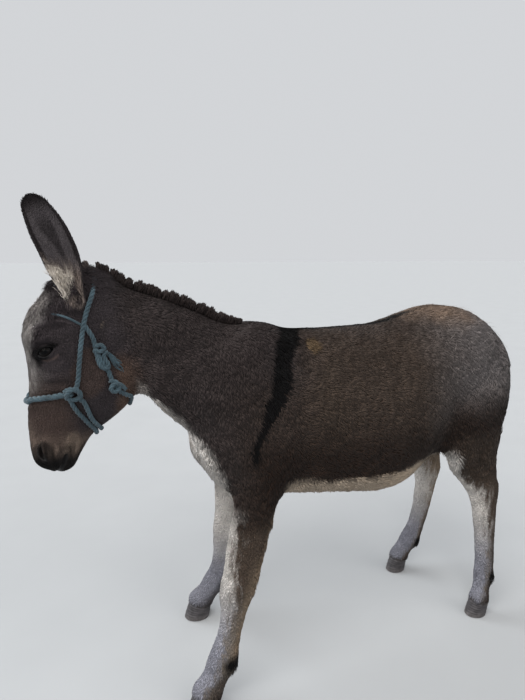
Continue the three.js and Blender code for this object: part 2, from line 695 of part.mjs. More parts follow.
// Where each leg is parted into upper leg, shank and pastern, at a level and a slope in the side view.
function legPieces(name) {
  const stations = LEGS[name];
  const [, , , , , joint] = stations;
  const side = Math.sign(stations[0][1]);
  const fore = name.startsWith("fore");
  const [region, inside] = fore ? [FORE_CUT, FORE_INSIDE] : [HIND_CUT, 0];
  const reach = side > 0 ? [inside + GAP, 400 - GAP] : [GAP - 400, -inside - GAP];
  const trimmed = region.map(([x, z]) => [x, z]);
  const window = prism(shrunk(trimmed), ...reach);
  const lo = fore ? [-260, 0, -20] : [640, 0, -20];
  const hi = fore ? [200, 0, 720] : [1140, 0, 760];
  const [y0, y1] = side > 0 ? [-40, 290] : [-290, 40];
  const kneeCut = fore ? [[-400, joint[2] - 52], [400, joint[2] - 52]] : [[400, joint[2] - 62], [1200, joint[2] - 62]];
  const fetlock = stations[9];
  const fetlockCut = [[fetlock[0] - 100, fetlock[2] + 30], [fetlock[0] + 100, fetlock[2] + 30]];
  const coronet = coronetCut(stations[11]);
  const coarse = meshed([lo[0], y0, 200], [hi[0], y1, hi[2]], CELL.leg, STRAY.large).intersect(window);
  const fine = meshed([lo[0], y0, -20], [hi[0], y1, 460], CELL.foot, STRAY.small);
  return {
    upper: keep(coarse, ...kneeCut, 1),
    shank: keep(keep(fine, ...kneeCut, -1), ...fetlockCut, 1),
    pastern: keep(keep(fine, ...fetlockCut, -1), ...coronet, 1),
    hoof: hoof(stations[11], fore ? 1 : HOOF.hindScale),
  };
}

// An outline moved in by the gap, along the bisector at each corner.
function shrunk(outline) {
  const n = outline.length;
  const area = outline.reduce((sum, p, i) => sum + p[0] * outline[(i + 1) % n][1] - outline[(i + 1) % n][0] * p[1], 0);
  const inward = (a, b) => new THREE.Vector2(-(b[1] - a[1]), b[0] - a[0]).normalize().multiplyScalar(Math.sign(area));
  return outline.map((p, i) => {
    const n0 = inward(outline[(i + n - 1) % n], p);
    const n1 = inward(p, outline[(i + 1) % n]);
    const bisector = n0.clone().add(n1).normalize();
    const reach = GAP / Math.max(0.3, bisector.dot(n0));
    return [p[0] + bisector.x * reach, p[1] + bisector.y * reach];
  });
}

// ---------------------------------------------------------------- the halter
// A point of a route, given in the side view, laid on the coat of one side.
function onSide([x, z], side, lift) {
  let [near, far] = [0, 180];
  for (let i = 0; i < 24; i++) {
    const y = (near + far) / 2;
    if (flesh([x, y, z]) < lift) near = y;
    else far = y;
  }
  return new THREE.Vector3(x, side * far, z);
}

// A route on both sides of the head, joined by its middle point.
function roundTheHead(route, middle, lift) {
  const left = route.map((p) => onSide(p, -1, lift)).reverse();
  const right = route.map((p) => onSide(p, 1, lift));
  return [...right.reverse(), ...middle.map((p) => new THREE.Vector3(...p)), ...left.reverse()];
}

function ropeAlong(points, radius, steps) {
  const line = new THREE.CatmullRomCurve3(points, false, "centripetal");
  const section = new THREE.Shape();
  const sides = 5;
  for (let k = 0; k < sides; k++) {
    const angle = (k / sides) * 2 * Math.PI;
    section[k ? "lineTo" : "moveTo"](Math.cos(angle) * radius, Math.sin(angle) * radius);
  }
  return solid(facingOut(mergeBare(new THREE.ExtrudeGeometry(section, { steps, extrudePath: line }))));
}

function mergeBare(geometry) {
  geometry.deleteAttribute("normal");
  geometry.deleteAttribute("uv");
  return mergeVertices(geometry, 1e-3);
}

// ---------------------------------------------------------------- assembly
const torsoBody = trunk();
const shoulders = add(groups.body, "shoulders", keep(torsoBody, ...SHOULDER_CUT, -1), coat);
add(groups.body, "barrel", keep(keep(torsoBody, ...SHOULDER_CUT, 1), ...CROUP_CUT, -1), coat);
const croup = add(groups.body, "croup", keep(torsoBody, ...CROUP_CUT, 1), coat);
const neckBody = add(groups.body, "neck", neckPiece(), coat);
const wholeHead = headWhole();
const skull = add(groups.head, "head", keep(wholeHead, ...MUZZLE_CUT, 1), coat);
const muzzle = add(groups.head, "muzzle", keep(wholeHead, ...MUZZLE_CUT, -1), paleCoat);
for (const { side, centre } of eyes) {
  const name = side < 0 ? "left" : "right";
  add(groups.head, `eye_${name}`, ball(centre, EYE_RADIUS, 14, 9), eyeball);
  add(groups.head, `ear_${name}`, clearOf(ear(side), [skull]), coat);
}

const crest = new THREE.SplineCurve(NECK.map(([upper]) => new THREE.Vector2(...upper)));
const mane = clearOf(hairRidge(crest, MANE.from, MANE.to, MANE.rings, MANE.height), [shoulders, neckBody, skull]);
add(groups.body, "mane", mane, darkHair);
const brow = new THREE.SplineCurve(HEAD.slice(0, 4).map(([upper]) => new THREE.Vector2(...upper)));
const forelock = clearOf(hairRidge(brow, FORELOCK.from, FORELOCK.to, FORELOCK.rings, FORELOCK.height), [skull]);
add(groups.head, "forelock", forelock, darkHair);

const dock = clearOf(taper(TAIL_DOCK), [croup]);
add(groups.body, "tail", dock, coat);
add(groups.body, "tail_switch", taper(TAIL_SWITCH), darkHair);

for (const name of Object.keys(LEGS)) {
  const pieces = legPieces(name);
  add(groups[name], `${name}_upper`, pieces.upper, coat);
  add(groups[name], `${name}_shank`, pieces.shank, coat);
  add(groups[name], `${name}_pastern`, pieces.pastern, coat);
  add(groups[name], `${name}_hoof`, pieces.hoof, horn);
}

const placed = [skull, muzzle, neckBody];
function addRope(name, shape) {
  const touching = placed.filter((other) => shape.intersect(grown(other)).volume() > 0);
  placed.push(add(groups.halter, name, clearOf(shape, touching), cord));
}
for (const side of [-1, 1]) {
  const name = side < 0 ? "left" : "right";
  const turns = SIDE_KNOT.map((p, i) => onSide(p, side, KNOT_LIFT + i * 1.5));
  addRope(`halter_knot_${name}`, ropeAlong(turns, ROPE_RADIUS, 12));
}
addRope("halter_throat_knot", ropeAlong(THROAT_KNOT.map((p) => onSide(p, -1, KNOT_LIFT)), ROPE_RADIUS, 12));
addRope("halter_headstall", ropeAlong(roundTheHead(HEADSTALL, HEADSTALL_MIDDLE, ROPE_LIFT), ROPE_RADIUS, 26));
addRope("halter_noseband", ropeAlong(roundTheHead(NOSEBAND, NOSEBAND_MIDDLE, ROPE_LIFT), NOSEBAND_RADIUS, 16));
addRope("halter_throat", ropeAlong(roundTheHead(THROAT, THROAT_MIDDLE, ROPE_LIFT), ROPE_RADIUS, 20));
for (const [name, side] of [["left", -1], ["right", 1]]) {
  const route = BROWBAND.map((p) => onSide(p, side, BROWBAND_LIFT));
  addRope(`halter_browband_${name}`, ropeAlong(route, BROWBAND_RADIUS, 7));
}
addRope("halter_chin_front", ropeAlong(roundTheHead(CHIN_FRONT, CHIN_FRONT_MIDDLE, ROPE_LIFT), ROPE_RADIUS, 13));
addRope("halter_chin_rear", ropeAlong(roundTheHead(CHIN_REAR, CHIN_REAR_MIDDLE, ROPE_LIFT), ROPE_RADIUS, 13));

// The object's origin is the bottom centre of its bounding box.
const box = new THREE.Box3().setFromObject(donkey);
const centre = box.getCenter(new THREE.Vector3());
for (const group of donkey.children) group.position.sub(new THREE.Vector3(centre.x, centre.y, box.min.z));

export default donkey;
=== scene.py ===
"""A standing donkey in a rope halter: one smooth skin under a coat of hair, with eyes, hooves and ropes.

Places are in the donkey's own frame, in millimetres: it faces -X, its left side is towards -Y, +Z is up.
"""

import math

import bmesh
import bpy
import numpy as np
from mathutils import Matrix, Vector
from mathutils.bvhtree import BVHTree

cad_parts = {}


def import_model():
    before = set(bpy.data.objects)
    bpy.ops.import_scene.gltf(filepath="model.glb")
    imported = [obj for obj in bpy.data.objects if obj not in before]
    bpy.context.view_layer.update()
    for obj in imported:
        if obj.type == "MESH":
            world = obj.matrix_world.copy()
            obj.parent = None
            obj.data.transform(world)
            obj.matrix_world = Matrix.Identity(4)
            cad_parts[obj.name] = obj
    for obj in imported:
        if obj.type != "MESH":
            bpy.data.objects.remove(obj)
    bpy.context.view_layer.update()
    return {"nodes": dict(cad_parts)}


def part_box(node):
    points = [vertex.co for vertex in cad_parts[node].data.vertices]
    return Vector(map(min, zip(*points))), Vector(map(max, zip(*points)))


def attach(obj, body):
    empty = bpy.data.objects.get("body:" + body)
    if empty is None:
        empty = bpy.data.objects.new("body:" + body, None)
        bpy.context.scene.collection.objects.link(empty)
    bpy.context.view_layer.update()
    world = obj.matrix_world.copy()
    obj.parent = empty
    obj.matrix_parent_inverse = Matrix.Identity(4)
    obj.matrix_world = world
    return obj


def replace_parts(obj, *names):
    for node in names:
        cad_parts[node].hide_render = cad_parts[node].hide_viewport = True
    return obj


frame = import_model()
rng = np.random.default_rng(20)

# ---------------------------------------------------------------- driving dimensions
MM = 0.001
SIDES = {"left": -1, "right": 1}
EYE = np.array([-549.0, 79.0, 1089.0])  # centre of the right eyeball
EYE_RADIUS = 19.0
POLL_CUT = [(-405, 1340), (-318, 930)]  # the head lies ahead of this line
MUZZLE_CUT = [(-640, 868), (-420, 836)]  # the muzzle lies below this one
ROPE_RADIUS = 6.5
NOSEBAND_RADIUS = 8.0
BROWBAND_RADIUS = 3.4

CAMERA = (-549.6, -1495.2, 1330.0)
CAMERA_HEADING = (0.386, 0.9225)
CAMERA_PITCH = 10.31  # degrees down
LENS = 27.05
SENSOR = 36.0

VOXEL = 8.74  # of the grid that joins the flesh into one skin
SWELL = 0.6  # closes the gaps between the solids before they are joined
LEGS = {  # the line down each leg, from the trunk to its hoof's coronet
    "fore_left": [
        (0, -136, 700), (-18, -146, 565), (-60, -156, 400),
        (-100, -170, 225), (-131, -180, 138), (-180, -190, 58),
    ],
    "fore_right": [
        (22, 134, 700), (16, 144, 565), (8, 166, 400),
        (-5, 191, 225), (-28, 211, 138), (-80, 226, 58),
    ],
    "hind_left": [
        (852, -120, 735), (878, -121, 571), (926, -120, 444),
        (931, -133, 309), (916, -153, 140), (889, -166, 58),
    ],
    "hind_right": [
        (828, 120, 735), (828, 120, 571), (852, 119, 444),
        (846, 130, 309), (820, 160, 150), (784, 184, 58),
    ],
}
TRUNK_PARTS = ["shoulders", "barrel", "croup", "neck", "head", "muzzle", "tail"]
LEG_PARTS = [f"{leg}_{length}" for leg in LEGS for length in ("upper", "shank", "pastern")]

eye_boxes = [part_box(f"eye_{side}") for side in SIDES]
eyes_middle = sum((Vector(low) + Vector(high) for low, high in eye_boxes), Vector()) / 4
HOME = np.array([eyes_middle.x - EYE[0] * MM, eyes_middle.y, 0.0])


def world(points):
    """Points of the donkey's frame, in the scene's metres."""
    return np.asarray(points, float) * MM + HOME


def own(points):
    """Points of the scene, in the donkey's frame."""
    return (np.asarray(points, float) - HOME) / MM


# ---------------------------------------------------------------- small tools
def ramp(value, low, high):
    """0 up to low, 1 from high, and a smooth rise between."""
    t = np.clip((value - low) / (high - low), 0, 1)
    return t * t * (3 - 2 * t)


def hump(value, at, width):
    """1 at a value, and less to both sides of it."""
    return np.exp(-(((value - at) / width) ** 2))


def unit(v):
    return v / np.maximum(np.linalg.norm(v, axis=-1, keepdims=True), 1e-9)


def noise(p, size, seed=0):
    """Smooth random values from 0 to 1 that change over about that size."""
    q = p / size + seed * np.array([13.7, 7.9, 29.3])
    cell = np.floor(q).astype(np.int64)
    f = q - cell
    f = f * f * (3 - 2 * f)
    total = np.zeros(len(p))
    for corner in np.ndindex(2, 2, 2):
        c = cell + corner
        h = (c[:, 0] * 73856093) ^ (c[:, 1] * 19349663) ^ (c[:, 2] * 83492791) ^ (seed * 2654435)
        h = ((h ^ (h >> 13)) * 1274126177) & 0x7FFFFFFF
        value = ((h ^ (h >> 16)) & 0xFFFF) / 65535.0
        weight = np.prod(np.where(corner, f, 1 - f), axis=1)
        total += value * weight
    return total


def colour(r, g, b):
    """A colour given as it looks on a screen, from 0 to 255, as linear light."""
    c = np.array([r, g, b], float) / 255
    return np.where(c < 0.04045, c / 12.92, ((c + 0.055) / 1.055) ** 2.4)


def paint(base, over, mask):
    """One colour over another, or over one colour a point, as far as the mask is 1."""
    base = np.broadcast_to(base, (len(mask), 3))
    return base + (over - base) * np.clip(mask, 0, 1)[:, None]


def mirrored(p):
    """Points of the left side brought to the right side."""
    return p * (1, 0, 1) + np.outer(np.abs(p[:, 1]), (0, 1, 0))


def from_eyes(p):
    """Each point's distance from the nearer eye's centre."""
    return np.linalg.norm(mirrored(p) - EYE, axis=1)


def flat_on(v, n):
    """The part of v that lies along a surface with the normal n."""
    return v - (v * n).sum(-1, keepdims=True) * n


def turned(way, normal, angle):
    """A direction along a surface, turned about its normal."""
    angle = angle[:, None]
    return way * np.cos(angle) + np.cross(normal, way) * np.sin(angle)


def smooth_line(points, step):
    """A smooth line through the points, with a point about every step."""
    p = np.asarray(points, float)
    ends = np.vstack([2 * p[0] - p[1], p, 2 * p[-1] - p[-2]])
    found = []
    for a, b, c, d in zip(ends, ends[1:], ends[2:], ends[3:]):
        t = np.linspace(0, 1, max(2, math.ceil(np.linalg.norm(c - b) / step) + 1))[:-1, None]
        curve = 2 * b + (c - a) * t + (2 * a - 5 * b + 4 * c - d) * t**2 + (3 * b - a - 3 * c + d) * t**3
        found.append(curve / 2)
    return np.vstack([*found, p[-1:]])


def from_line(p, line):
    """Each point's distance from a line, and its share of the way along it."""
    line = np.asarray(line, float)
    nearest = np.full(len(p), np.inf)
    share = np.zeros(len(p))
    steps = len(line) - 1
    for i, (a, b) in enumerate(zip(line, line[1:])):
        t = np.clip((p - a) @ (b - a) / ((b - a) @ (b - a)), 0, 1)
        d = np.linalg.norm(p - a - t[:, None] * (b - a), axis=1)
        share = np.where(d < nearest, (i + t) / steps, share)
        nearest = np.minimum(nearest, d)
    return nearest, share


def make_object(name, material, points, faces, colours, bare=None):
    """A smooth mesh with its material, which reads one colour a point, and how bare it is of hair."""
    mesh = bpy.data.meshes.new(name)
    faces = np.asarray(faces, np.int32)
    mesh.vertices.add(len(points))
    mesh.vertices.foreach_set("co", world(points).astype(np.float32).ravel())
    mesh.loops.add(faces.size)
    mesh.loops.foreach_set("vertex_index", faces.ravel())
    mesh.polygons.add(len(faces))
    mesh.polygons.foreach_set("loop_start", np.arange(0, faces.size, faces.shape[1], dtype=np.int32))
    mesh.polygons.foreach_set("use_smooth", np.ones(len(faces), bool))
    mesh.update(calc_edges=True)
    rgba = np.ones((len(points), 4), np.float32)
    rgba[:, :3] = colours
    mesh.attributes.new("Coat", "FLOAT_COLOR", "POINT").data.foreach_set("color", rgba.ravel())
    if bare is not None:
        mesh.attributes.new("Bare", "FLOAT", "POINT").data.foreach_set("value", bare.astype(np.float32))
    mesh.materials.append(material)
    thing = bpy.data.objects.new(name, mesh)
    bpy.context.scene.collection.objects.link(thing)
    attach(thing, "root")
    return thing


def joined(parts):
    """Parts, each of points, triangles and values for its points, made into one."""
    points, triangles, *values = zip(*parts)
    starts = np.cumsum([0] + [len(part) for part in points[:-1]])
    triangles = [part + start for part, start in zip(triangles, starts)]
    return [np.concatenate(column) for column in (points, triangles, *values)]


def halves(quads):
    return np.vstack([quads[:, [0, 1, 2]], quads[:, [0, 2, 3]]])


def between_rings(rings, columns):
    """Triangles between rings that each have the same number of points."""
    i, j = np.meshgrid(np.arange(rings - 1), np.arange(columns), indexing="ij")
    a = i * columns + j
    b = i * columns + (j + 1) % columns
    return halves(np.stack([a, b, b + columns, a + columns], -1).reshape(-1, 4))


# ---------------------------------------------------------------- parts of the body
# Each in_ function gives 1 in a part of the body and 0 outside it, with a soft edge.
def ahead_of(p, line):
    """How far each point lies ahead of a line that is drawn downward in the side view."""
    (ax, az), (bx, bz) = line
    along = math.hypot(bx - ax, bz - az)
    return ((p[:, 2] - az) * (bx - ax) - (p[:, 0] - ax) * (bz - az)) / -along


def in_head(p, soft=30):
    return ramp(ahead_of(p, POLL_CUT), -soft, soft) * ramp(p[:, 2], 660, 700)


def in_muzzle(p):
    (ax, az), (bx, bz) = MUZZLE_CUT
    level = az + (p[:, 0] - ax) * (bz - az) / (bx - ax)
    return in_head(p) * ramp(level - p[:, 2], -20, 40)


def in_leg(p):
    low = ramp(630 - p[:, 2], 0, 100)
    return low * np.maximum(ramp(110 - p[:, 0], 0, 50), ramp(p[:, 0] - 695, 0, 50))


def in_neck(p):
    return ramp(-p[:, 0] - 10 + (p[:, 2] - 900) * 0.35, -60, 60) * (1 - in_head(p)) * ramp(p[:, 2], 640, 720)


def in_tail(p):
    return ramp(p[:, 0], 1034, 1046) * ramp(p[:, 2], 400, 500)


def by_part(p, trunk, neck, head, muzzle, leg, lid=None):
    """A measure that has its own value on each part of the body, and flows from one to the next."""
    value = trunk + (neck - trunk) * in_neck(p)
    masks = [(head, in_head(p)), (muzzle, in_muzzle(p)), (leg, in_leg(p))]
    if lid is not None:
        masks.append((lid, ramp(44 - from_eyes(p), 0, 14)))
    for part, mask in masks:
        value = value + (part - value) * mask
    return value


COAT_DEPTH = (5.0, 4.5, 2.4, 1.0, 2.2)  # how far the skin lies inside the solids, for by_part


# ---------------------------------------------------------------- the skin's shape
def swollen(name):
    """A copy of a solid's mesh, a little bigger all round."""
    part = bmesh.new()
    part.from_mesh(frame["nodes"][name].data)
    bmesh.ops.remove_doubles(part, verts=part.verts, dist=1e-5)
    part.normal_update()
    for v in part.verts:
        v.co += v.normal * SWELL * MM
    mesh = bpy.data.meshes.new(name)
    part.to_mesh(mesh)
    part.free()
    return mesh


def flesh_in_one():
    """The solids of the flesh, joined and remeshed: points and quads."""
    work = bmesh.new()
    for name in [*TRUNK_PARTS, "eye_left", "eye_right", *LEG_PARTS]:
        mesh = swollen(name)
        work.from_mesh(mesh)
        bpy.data.meshes.remove(mesh)
    mesh = bpy.data.meshes.new("flesh")
    work.to_mesh(mesh)
    work.free()
    thing = bpy.data.objects.new("flesh", mesh)
    bpy.context.scene.collection.objects.link(thing)
    remesh = thing.modifiers.new("remesh", "REMESH")
    remesh.mode = "VOXEL"
    remesh.voxel_size = VOXEL * MM
    made = thing.evaluated_get(bpy.context.evaluated_depsgraph_get()).to_mesh()
    points = np.zeros(len(made.vertices) * 3, np.float32)
    made.vertices.foreach_get("co", points)
    quads = np.array([p.vertices[:] for p in made.polygons])
    thing.to_mesh_clear()
    bpy.data.objects.remove(thing)
    bpy.data.meshes.remove(mesh)
    return own(points.reshape(-1, 3)), quads


def edges_of(faces):
    """Each edge of the faces once, as two point numbers."""
    sides = np.vstack([faces[:, [i, (i + 1) % faces.shape[1]]] for i in range(faces.shape[1])])
    return np.unique(np.sort(sides, axis=1), axis=0)


def smoothed(points, edges, rounds, strength):
    """Each point drawn towards the mean of its neighbours, by its own strength, again and again."""
    a, b = edges.T
    n = len(points)
    count = np.bincount(edges.ravel(), minlength=n)[:, None]
    for _ in range(rounds):
        total = [np.bincount(a, axis[b], n) + np.bincount(b, axis[a], n) for axis in points.T]
        points = points + strength[:, None] * (np.stack(total, 1) / count - points)
    return points


def normals_of(points, triangles):
    a, b, c = (points[triangles[:, k]] for k in range(3))
    across = np.cross(b - a, c - a)
    total = np.zeros_like(points)
    for k in range(3):
        for axis in range(3):
            total[:, axis] += np.bincount(triangles[:, k], across[:, axis], len(points))
    return unit(total)


def rounded(points, quads, rounds, strength):
    """Smoothed, then moved out again by as much as the smoothing had drawn each stretch in."""
    edges = edges_of(quads)
    made = smoothed(points, edges, rounds, strength)
    normals = normals_of(made, halves(quads))
    sunk = ((points - made) * normals).sum(1, keepdims=True)
    sunk = smoothed(sunk, edges, 50, np.full(len(points), 0.5))
    return made + normals * sunk


def refined(points, faces, wanted):
    """Halves the edges between the wanted points. Returns points and triangles."""
    mesh = bpy.data.meshes.new("coarse")
    mesh.from_pydata(points.tolist(), [], faces.tolist())
    work = bmesh.new()
    work.from_mesh(mesh)
    work.verts.ensure_lookup_table()
    edges = [e for e in work.edges if wanted[e.verts[0].index] and wanted[e.verts[1].index]]
    bmesh.ops.subdivide_edges(work, edges=edges, cuts=1, use_grid_fill=True)
    bmesh.ops.triangulate(work, faces=work.faces)
    work.to_mesh(mesh)
    work.free()
    new_points = np.zeros(len(mesh.vertices) * 3)
    mesh.vertices.foreach_get("co", new_points)
    triangles = np.zeros(len(mesh.loops), np.int32)
    mesh.loops.foreach_get("vertex_index", triangles)
    bpy.data.meshes.remove(mesh)
    return new_points.reshape(-1, 3), triangles.reshape(-1, 3)


# Rises and hollows of the head on both sides: centre, radii, and height along the skin.
HEAD_FORMS = [
    ((-520, 76, 1150), (26, 30, 18), -3.5),  # hollow over the eye
    ((-556, 70, 1119), (26, 30, 9), 3.0),  # brow ridge
    ((-540, 78, 1020), (44, 34, 12), 3.0),  # upper end of the facial crest
    ((-500, 72, 985), (44, 34, 12), 2.5),  # facial crest
    ((-590, 36, 990), (14, 24, 90), -2.0),  # beside the nose bone
    ((-545, 62, 905), (34, 34, 44), -3.0),  # hollow ahead of the cheek
    ((-560, 56, 835), (26, 30, 22), 2.0),  # over the nostril
    ((-548, 50, 776), (24, 30, 13), 4.0),  # upper lip
    ((-524, 40, 757), (16, 26, 10), 3.5),  # lower lip
    ((-597, 0, 820), (24, 14, 60), -1.5),  # groove between the nostrils
    ((-380, 70, 1020), (22, 40, 80), 2.5),  # edge of the jaw
    ((-400, 82, 1140), (20, 30, 50), -3.0),  # behind the jaw
]
NOSTRIL = {"at": (-579, 56, 812), "long": (0.25, 0.3, -0.92), "half": (19, 6.5), "deep": 13, "rim": 2.4}
MOUTH = [(-552, 742), (-541, 752), (-531, 768), (-524, 786), (-519, 800)]
MOUTH_DEPTH = 5.0
MOUTH_WIDTH = 3.2


def bump_of(p, at, radii, side):
    return np.exp(-(((p - np.array(at) * (1, side, 1)) / radii) ** 2).sum(1))


def nostril_shares(p, n, side):
    """Each point's distance from the nostril's middle, where 1 is its rim."""
    at = np.array(NOSTRIL["at"], float) * (1, side, 1)
    nearest = np.argmin(np.linalg.norm(p - at, axis=1))
    middle, out = p[nearest], n[nearest]
    along = np.array(NOSTRIL["long"]) * (1, side, 1)
    along = unit(along - (along @ out) * out)
    across = np.cross(out, along)
    offset = p - middle
    u = offset @ along
    v = offset @ across + 0.012 * u**2 * side
    far = np.abs(offset @ out) > 30
    long_half, short_half = NOSTRIL["half"]
    return np.where(far, 9, np.hypot(u / long_half, v / short_half))


def shape_the_head(p, n):
    """Adds the forms of the face. Returns the points and how bare each is of hair."""
    rise = np.zeros(len(p))
    for at, radii, height in HEAD_FORMS:
        for side in SIDES.values():
            rise += height * bump_of(p, at, radii, side)
    head = in_head(p)
    p = p + n * (rise * head)[:, None]
    bare = np.zeros(len(p))
    for side in SIDES.values():
        share = nostril_shares(p, n, side)
        hole = -NOSTRIL["deep"] * np.clip(1 - share**2, 0, 1) ** 0.7
        rim = NOSTRIL["rim"] * hump(share, 1.3, 0.4) * (share > 1)
        p = p + n * (hole + rim)[:, None]
        bare = np.maximum(bare, ramp(1.5 - share, 0, 0.4))
    slit = np.array([(x, 0, z) for x, z in MOUTH])
    gap, _ = from_line(p * (1, 0, 1), smooth_line(slit, 3))
    muzzle = in_muzzle(p)
    groove = hump(gap, 0, MOUTH_WIDTH) * muzzle
    swell = hump(gap, 8, 6) * muzzle
    p = p + n * (1.2 * swell - MOUTH_DEPTH * groove)[:, None]
    bare = np.maximum(bare, ramp(10 - gap, 0, 6) * muzzle)
    return p, bare


# ---------------------------------------------------------------- eyelids
LID = {
    "half_long": 19.0,  # the opening's half length and half height
    "half_tall": 10.5,
    "reach": 23.0,  # how far the lids flow out over the skin
    "columns": 72,
}
# Rings of the lids: the share of the way out, and the radius of the ball that each ring would lie on.
LID_ROWS = [0, 0.03, 0.07, 0.12, 0.18, 0.25, 0.32, 0.4, 0.5, 0.6, 0.72, 0.86, 1.0]
LID_SPHERE = [19.1, 20.6, 21.7, 22.2, 22.4, 22.2, 21.5, 21.6, 22.2, 22.4, 22.4, 22.0, 21.5]
LID_SINK = 9.0  # how far the skin sinks under them


def eye_axes(side):
    """The eye's centre, and its directions outward, along the lids to the rear, and up across them."""
    out = unit(np.array([-0.24, side * 0.96, 0.03]))
    rear = np.array([1.0, 0, 0.3])
    rear = unit(rear - (rear @ out) * out)
    up = np.cross(rear, out) * -side
    up = up if up[2] > 0 else -up
    return EYE * (1, side, 1), out, rear, up


def lid_outline(angle):
    """The opening between the lids: an almond, pointed at both corners."""
    x = np.cos(angle) * LID["half_long"]
    y = LID["half_tall"] * np.sin(angle) * (1 - 0.3 * np.cos(angle) ** 2)
    return x, y + 0.09 * x * (x > 0)


def from_the_eye(p, side):
    """Places as they lie from an eye's centre: to the rear, up, and outward."""
    centre, out, rear, up = eye_axes(side)
    offset = p - centre
    return offset @ rear, offset @ up, offset @ out


def lid_folds(share, angle):
    """The folds over and under the eye, as heights at a share of the way out from the opening."""
    upper, lower = np.clip(np.sin(angle), 0, 1), np.clip(-np.sin(angle), 0, 1)
    crease = -1.3 * hump(share, 0.34, 0.06) * (0.4 + upper) - 1.1 * hump(share, 0.62, 0.07) * lower
    return crease + 2.4 * hump(share, 0.6, 0.16) * upper


def lid_patch(side, skin):
    """Lids that lie on the eyeball and flow out into the skin: points, triangles, and how bare each is."""
    centre, out, rear, up = eye_axes(side)
    angle = np.arange(LID["columns"]) / LID["columns"] * 2 * math.pi
    edge_x, edge_y = lid_outline(angle)
    away = unit(np.stack([edge_x * 0.8, edge_y * 1.3], 1))
    rows = []
    for share, radius in zip(LID_ROWS, LID_SPHERE):
        x = edge_x + away[:, 0] * share * LID["reach"]
        y = edge_y + away[:, 1] * share * LID["reach"]
        flat = centre + np.outer(x, rear) + np.outer(y, up)
        on_ball = np.sqrt(np.maximum(radius**2 - x**2 - y**2, 30))
        on_skin = []
        for point in flat:
            hit = skin.ray_cast(Vector(point + out * 60), Vector(-out))[0]
            on_skin.append((np.array(hit) - point) @ out if hit is not None else 0)
        blend = ramp(np.array(share), 0.2, 0.92)
        lift = on_ball * (1 - blend) + np.array(on_skin) * blend
        lift = lift + lid_folds(share, angle) - 1.6 * (share == 1)
        rows.append(flat + np.outer(lift, out))
    points = np.vstack(rows)
    triangles = between_rings(len(rows), LID["columns"])
    if (normals_of(points, triangles) @ out).mean() < 0:
        triangles = triangles[:, ::-1]
    bare = np.repeat(ramp(0.16 - np.array(LID_ROWS), 0, 0.1), LID["columns"])
    return points, triangles, bare


def sink_under_lids(p):
    """Skin points under the lids move into the head."""
    for side in SIDES.values():
        x, y, z = from_the_eye(p, side)
        near = (from_eyes(p) < 60) & (z > -5)
        reach = LID["reach"] * 0.86
        away = np.hypot(x / (LID["half_long"] + reach), y / (12 + reach))
        depth = LID_SINK * ramp(1 - away, 0, 0.35)
        p = p - np.outer(np.where(near, depth, 0), eye_axes(side)[1])
    return p


def under_the_lids(p):
    """True where the lids cover the skin, so that no hair grows there."""
    covered = np.zeros(len(p), bool)
    for side in SIDES.values():
        x, y, z = from_the_eye(p, side)
        inside = np.hypot(x / (LID["half_long"] + 15), y / 27) < 1
        covered |= inside & (z > -5) & (from_eyes(p) < 50)
    return covered


# ---------------------------------------------------------------- ears
EAR = {
    "base": (-464, 70, 1206),
    "tip": (-563, 84, 1471),
    "facing": (-0.35, 0.9, 0.1),
    "wall": 7.0,  # thickness at the base
    "half_width": [24, 30, 40, 45.5, 46.5, 45, 37, 24],  # evenly spaced from base to tip
    "round_tip": 22.0,
    "curl": [1.2, 1, 0.7, 0.55, 0.4],  # depth of the cup as a share of the half width
    "ripple": 1.6,  # height of the long folds inside
    "bend": 12.0,  # how far its middle stands behind the line from base to tip
}
EAR_ROWS = 64
# The points of a row, as shares of a half turn round the cup: outside, then back along the inside.
EAR_OUTER = np.linspace(-1, 1, 27)
EAR_INNER = np.linspace(0.93, -0.93, 23)


def along_values(values, t):
    """A smooth curve through evenly spaced values, at shares t."""
    line = smooth_line([(i, v, 0) for i, v in enumerate(values)], 0.02)
    return np.interp(t * (len(values) - 1), line[:, 0], line[:, 1])


def ear_profile(t, tall):
    """Half the width, the depth of the cup and the thickness of its wall, at shares of the height."""
    half = along_values(EAR["half_width"], t) - 1.5
    to_tip = np.clip((1.003 - t) * tall / EAR["round_tip"], 0, 1)
    half = half * np.sqrt(1 - (1 - to_tip) ** 2)
    wall = np.minimum(EAR["wall"] * (1 - 0.75 * t**3), half * 0.5)
    return half, along_values(EAR["curl"], t) * half, wall


